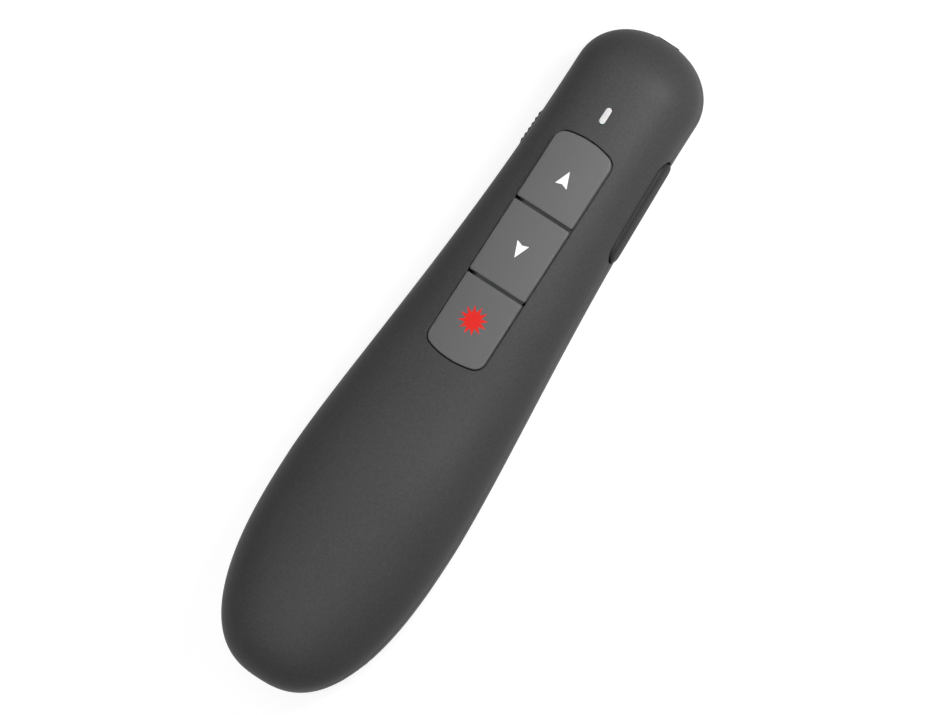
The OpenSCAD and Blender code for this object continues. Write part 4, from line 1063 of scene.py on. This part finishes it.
for material, width, names in (
        (inner_black, 0.12, "battery_tray"), (inner_black, 0.1, "receiver_tongue"),
        (chip_black, 0.1, "switch_forward switch_back switch_laser"),
        (chip_black, 0.08, "rocker_switches"), (chip_black, 0.06, "controller_chip"),
        (chip_black, 0.05, "radio_chip"), (button_pale, 0.08, "power_lever"),
        (button_pale, 0.1, "button_forward button_back button_laser rocker_bracket"),
        (board, 0.05, "circuit_board"), (board, 0.04, "laser_board"), (brass, 0.1, "laser_barrel"),
        (steel, 0.15, "crystal"), (steel, 0.1, "power_switch rocker_pin"),
        (steel, 0.08, "receiver_plug"), (steel, 0.06, "tail_contact contact_left contact_right"),
        (steel, 0.0, "spring_left spring_right"), (screw_black, 0.1, "case_screws"),
        (light_milky, 0.05, "status_led"), (light_milky, 0.08, "light_pipe"),
        (control, 0.12, "side_rocker"), (clear_glass, 0.0, "laser_lens"),
        (red_glass, 0.05, "laser_window"), (gloss, 0.3, "nose_ring"),
        (gloss, 0.2, "receiver_grip"), (sleeve, 0.15, "cell_left cell_right")):
    for name in names.split():
        dress(name, material, width)

# ---- Floor, light and camera ------------------------------------------------------------------
scene = bpy.context.scene
scene.view_settings.view_transform = "Standard"
FLOOR_HALF, FLOOR_GREY, FLOOR_GLOW = 3.0, 0.3, 0.82
SKY_LOW, SKY_HIGH = 0.02, 0.04
CAMERA_TURN, CAMERA_FAR, FRAME_WIDTH, SENSOR = 12.7, 3.5, 0.1578, 36
AXIS_RIGHT, AXIS_UP = 0.5422, 0.8403
AIM_RIGHT, AIM_UP = 1.141, 0.47


def floor():
    """Pale plane that the camera, reflections and glass see as white, and that takes the shadow."""
    me, s = bpy.data.meshes.new("floor"), FLOOR_HALF
    me.from_pydata([(-s, -s, 0), (s, -s, 0), (s, s, 0), (-s, s, 0)], [], [(0, 1, 2, 3)])
    o = bpy.data.objects.new("floor", me)
    scene.collection.objects.link(o)
    m = bpy.data.materials.new("floor")
    m.use_nodes = True
    t = m.node_tree
    t.nodes.clear()
    path = add_node(t, "LightPath").outputs
    seen = add_node(t, "Math", {0: path["Is Camera Ray"], 1: path["Is Glossy Ray"]}, operation="MAXIMUM")
    seen = add_node(t, "Math", {0: seen.outputs[0], 1: path["Is Transmission Ray"]}, operation="MAXIMUM")
    glow = add_node(t, "Math", {0: seen.outputs[0], 1: FLOOR_GLOW}, operation="MULTIPLY")
    diffuse = add_node(t, "BsdfDiffuse", {"Color": grey(FLOOR_GREY)})
    emission = add_node(t, "Emission", {"Strength": glow.outputs[0]})
    both = add_node(t, "AddShader", {0: diffuse.outputs[0], 1: emission.outputs[0]})
    add_node(t, "OutputMaterial", {"Surface": both.outputs[0]})
    me.materials.append(m)


def backdrop():
    """World: pale to the camera, and for the object a faint light that grows towards the top."""
    world = bpy.data.worlds.new("world")
    scene.world = world
    world.use_nodes = True
    t = world.node_tree
    t.nodes.clear()
    coords = add_node(t, "TexCoord").outputs["Generated"]
    height = add_node(t, "SeparateXYZ", {0: coords}).outputs["Z"]
    ramp = add_node(t, "MapRange", {"Value": height, "From Min": 0.0, "From Max": 1.0,
                                    "To Min": SKY_LOW, "To Max": SKY_HIGH})
    sky, white = add_node(t, "Background", {"Strength": ramp.outputs[0]}), add_node(t, "Background")
    seen = add_node(t, "LightPath").outputs["Is Camera Ray"]
    mix = add_node(t, "MixShader", {0: seen, 1: sky.outputs[0], 2: white.outputs[0]})
    add_node(t, "OutputWorld", {"Surface": mix.outputs[0]})


def lamp(name, place, size, power):
    """Round soft box at a place in metres, turned to the object."""
    light = bpy.data.lights.new(name, "AREA")
    light.shape, light.size, light.energy = "DISK", size, power
    o = bpy.data.objects.new(name, light)
    o.location = place
    o.rotation_mode = "QUATERNION"
    o.rotation_quaternion = (-Vector(place)).to_track_quat("-Z", "Y")
    scene.collection.objects.link(o)


def camera():
    """Looks down on the keys, turned to the right flank, with the body's axis as in the photo."""
    turn, axis = math.radians(CAMERA_TURN), Vector((0, 1, 0))
    back = Vector((math.sin(turn), 0, math.cos(turn)))
    flank = Vector((math.cos(turn), 0, -math.sin(turn)))
    right = AXIS_RIGHT * axis + AXIS_UP * flank
    up = AXIS_UP * axis - AXIS_RIGHT * flank
    data = bpy.data.cameras.new("camera")
    data.sensor_width, data.lens, data.clip_end = SENSOR, SENSOR * CAMERA_FAR / FRAME_WIDTH, 50
    o = bpy.data.objects.new("camera", data)
    target = Vector((0, 0, PARTING * MM)) + (AIM_RIGHT * right + AIM_UP * up) * MM
    o.matrix_world = Matrix.Translation(target + back * CAMERA_FAR) @ Matrix(
        (right, up, back)).transposed().to_4x4()
    scene.collection.objects.link(o)
    scene.camera = o


floor()
backdrop()
lamp("overhead", (0.0, 0.05, 0.9), 0.5, 1.6)
lamp("head", (0.075, 0.095, 0.15), 0.1, 0.32)
lamp("tail", (-0.005, -0.12, 0.15), 0.12, 0.12)
camera()
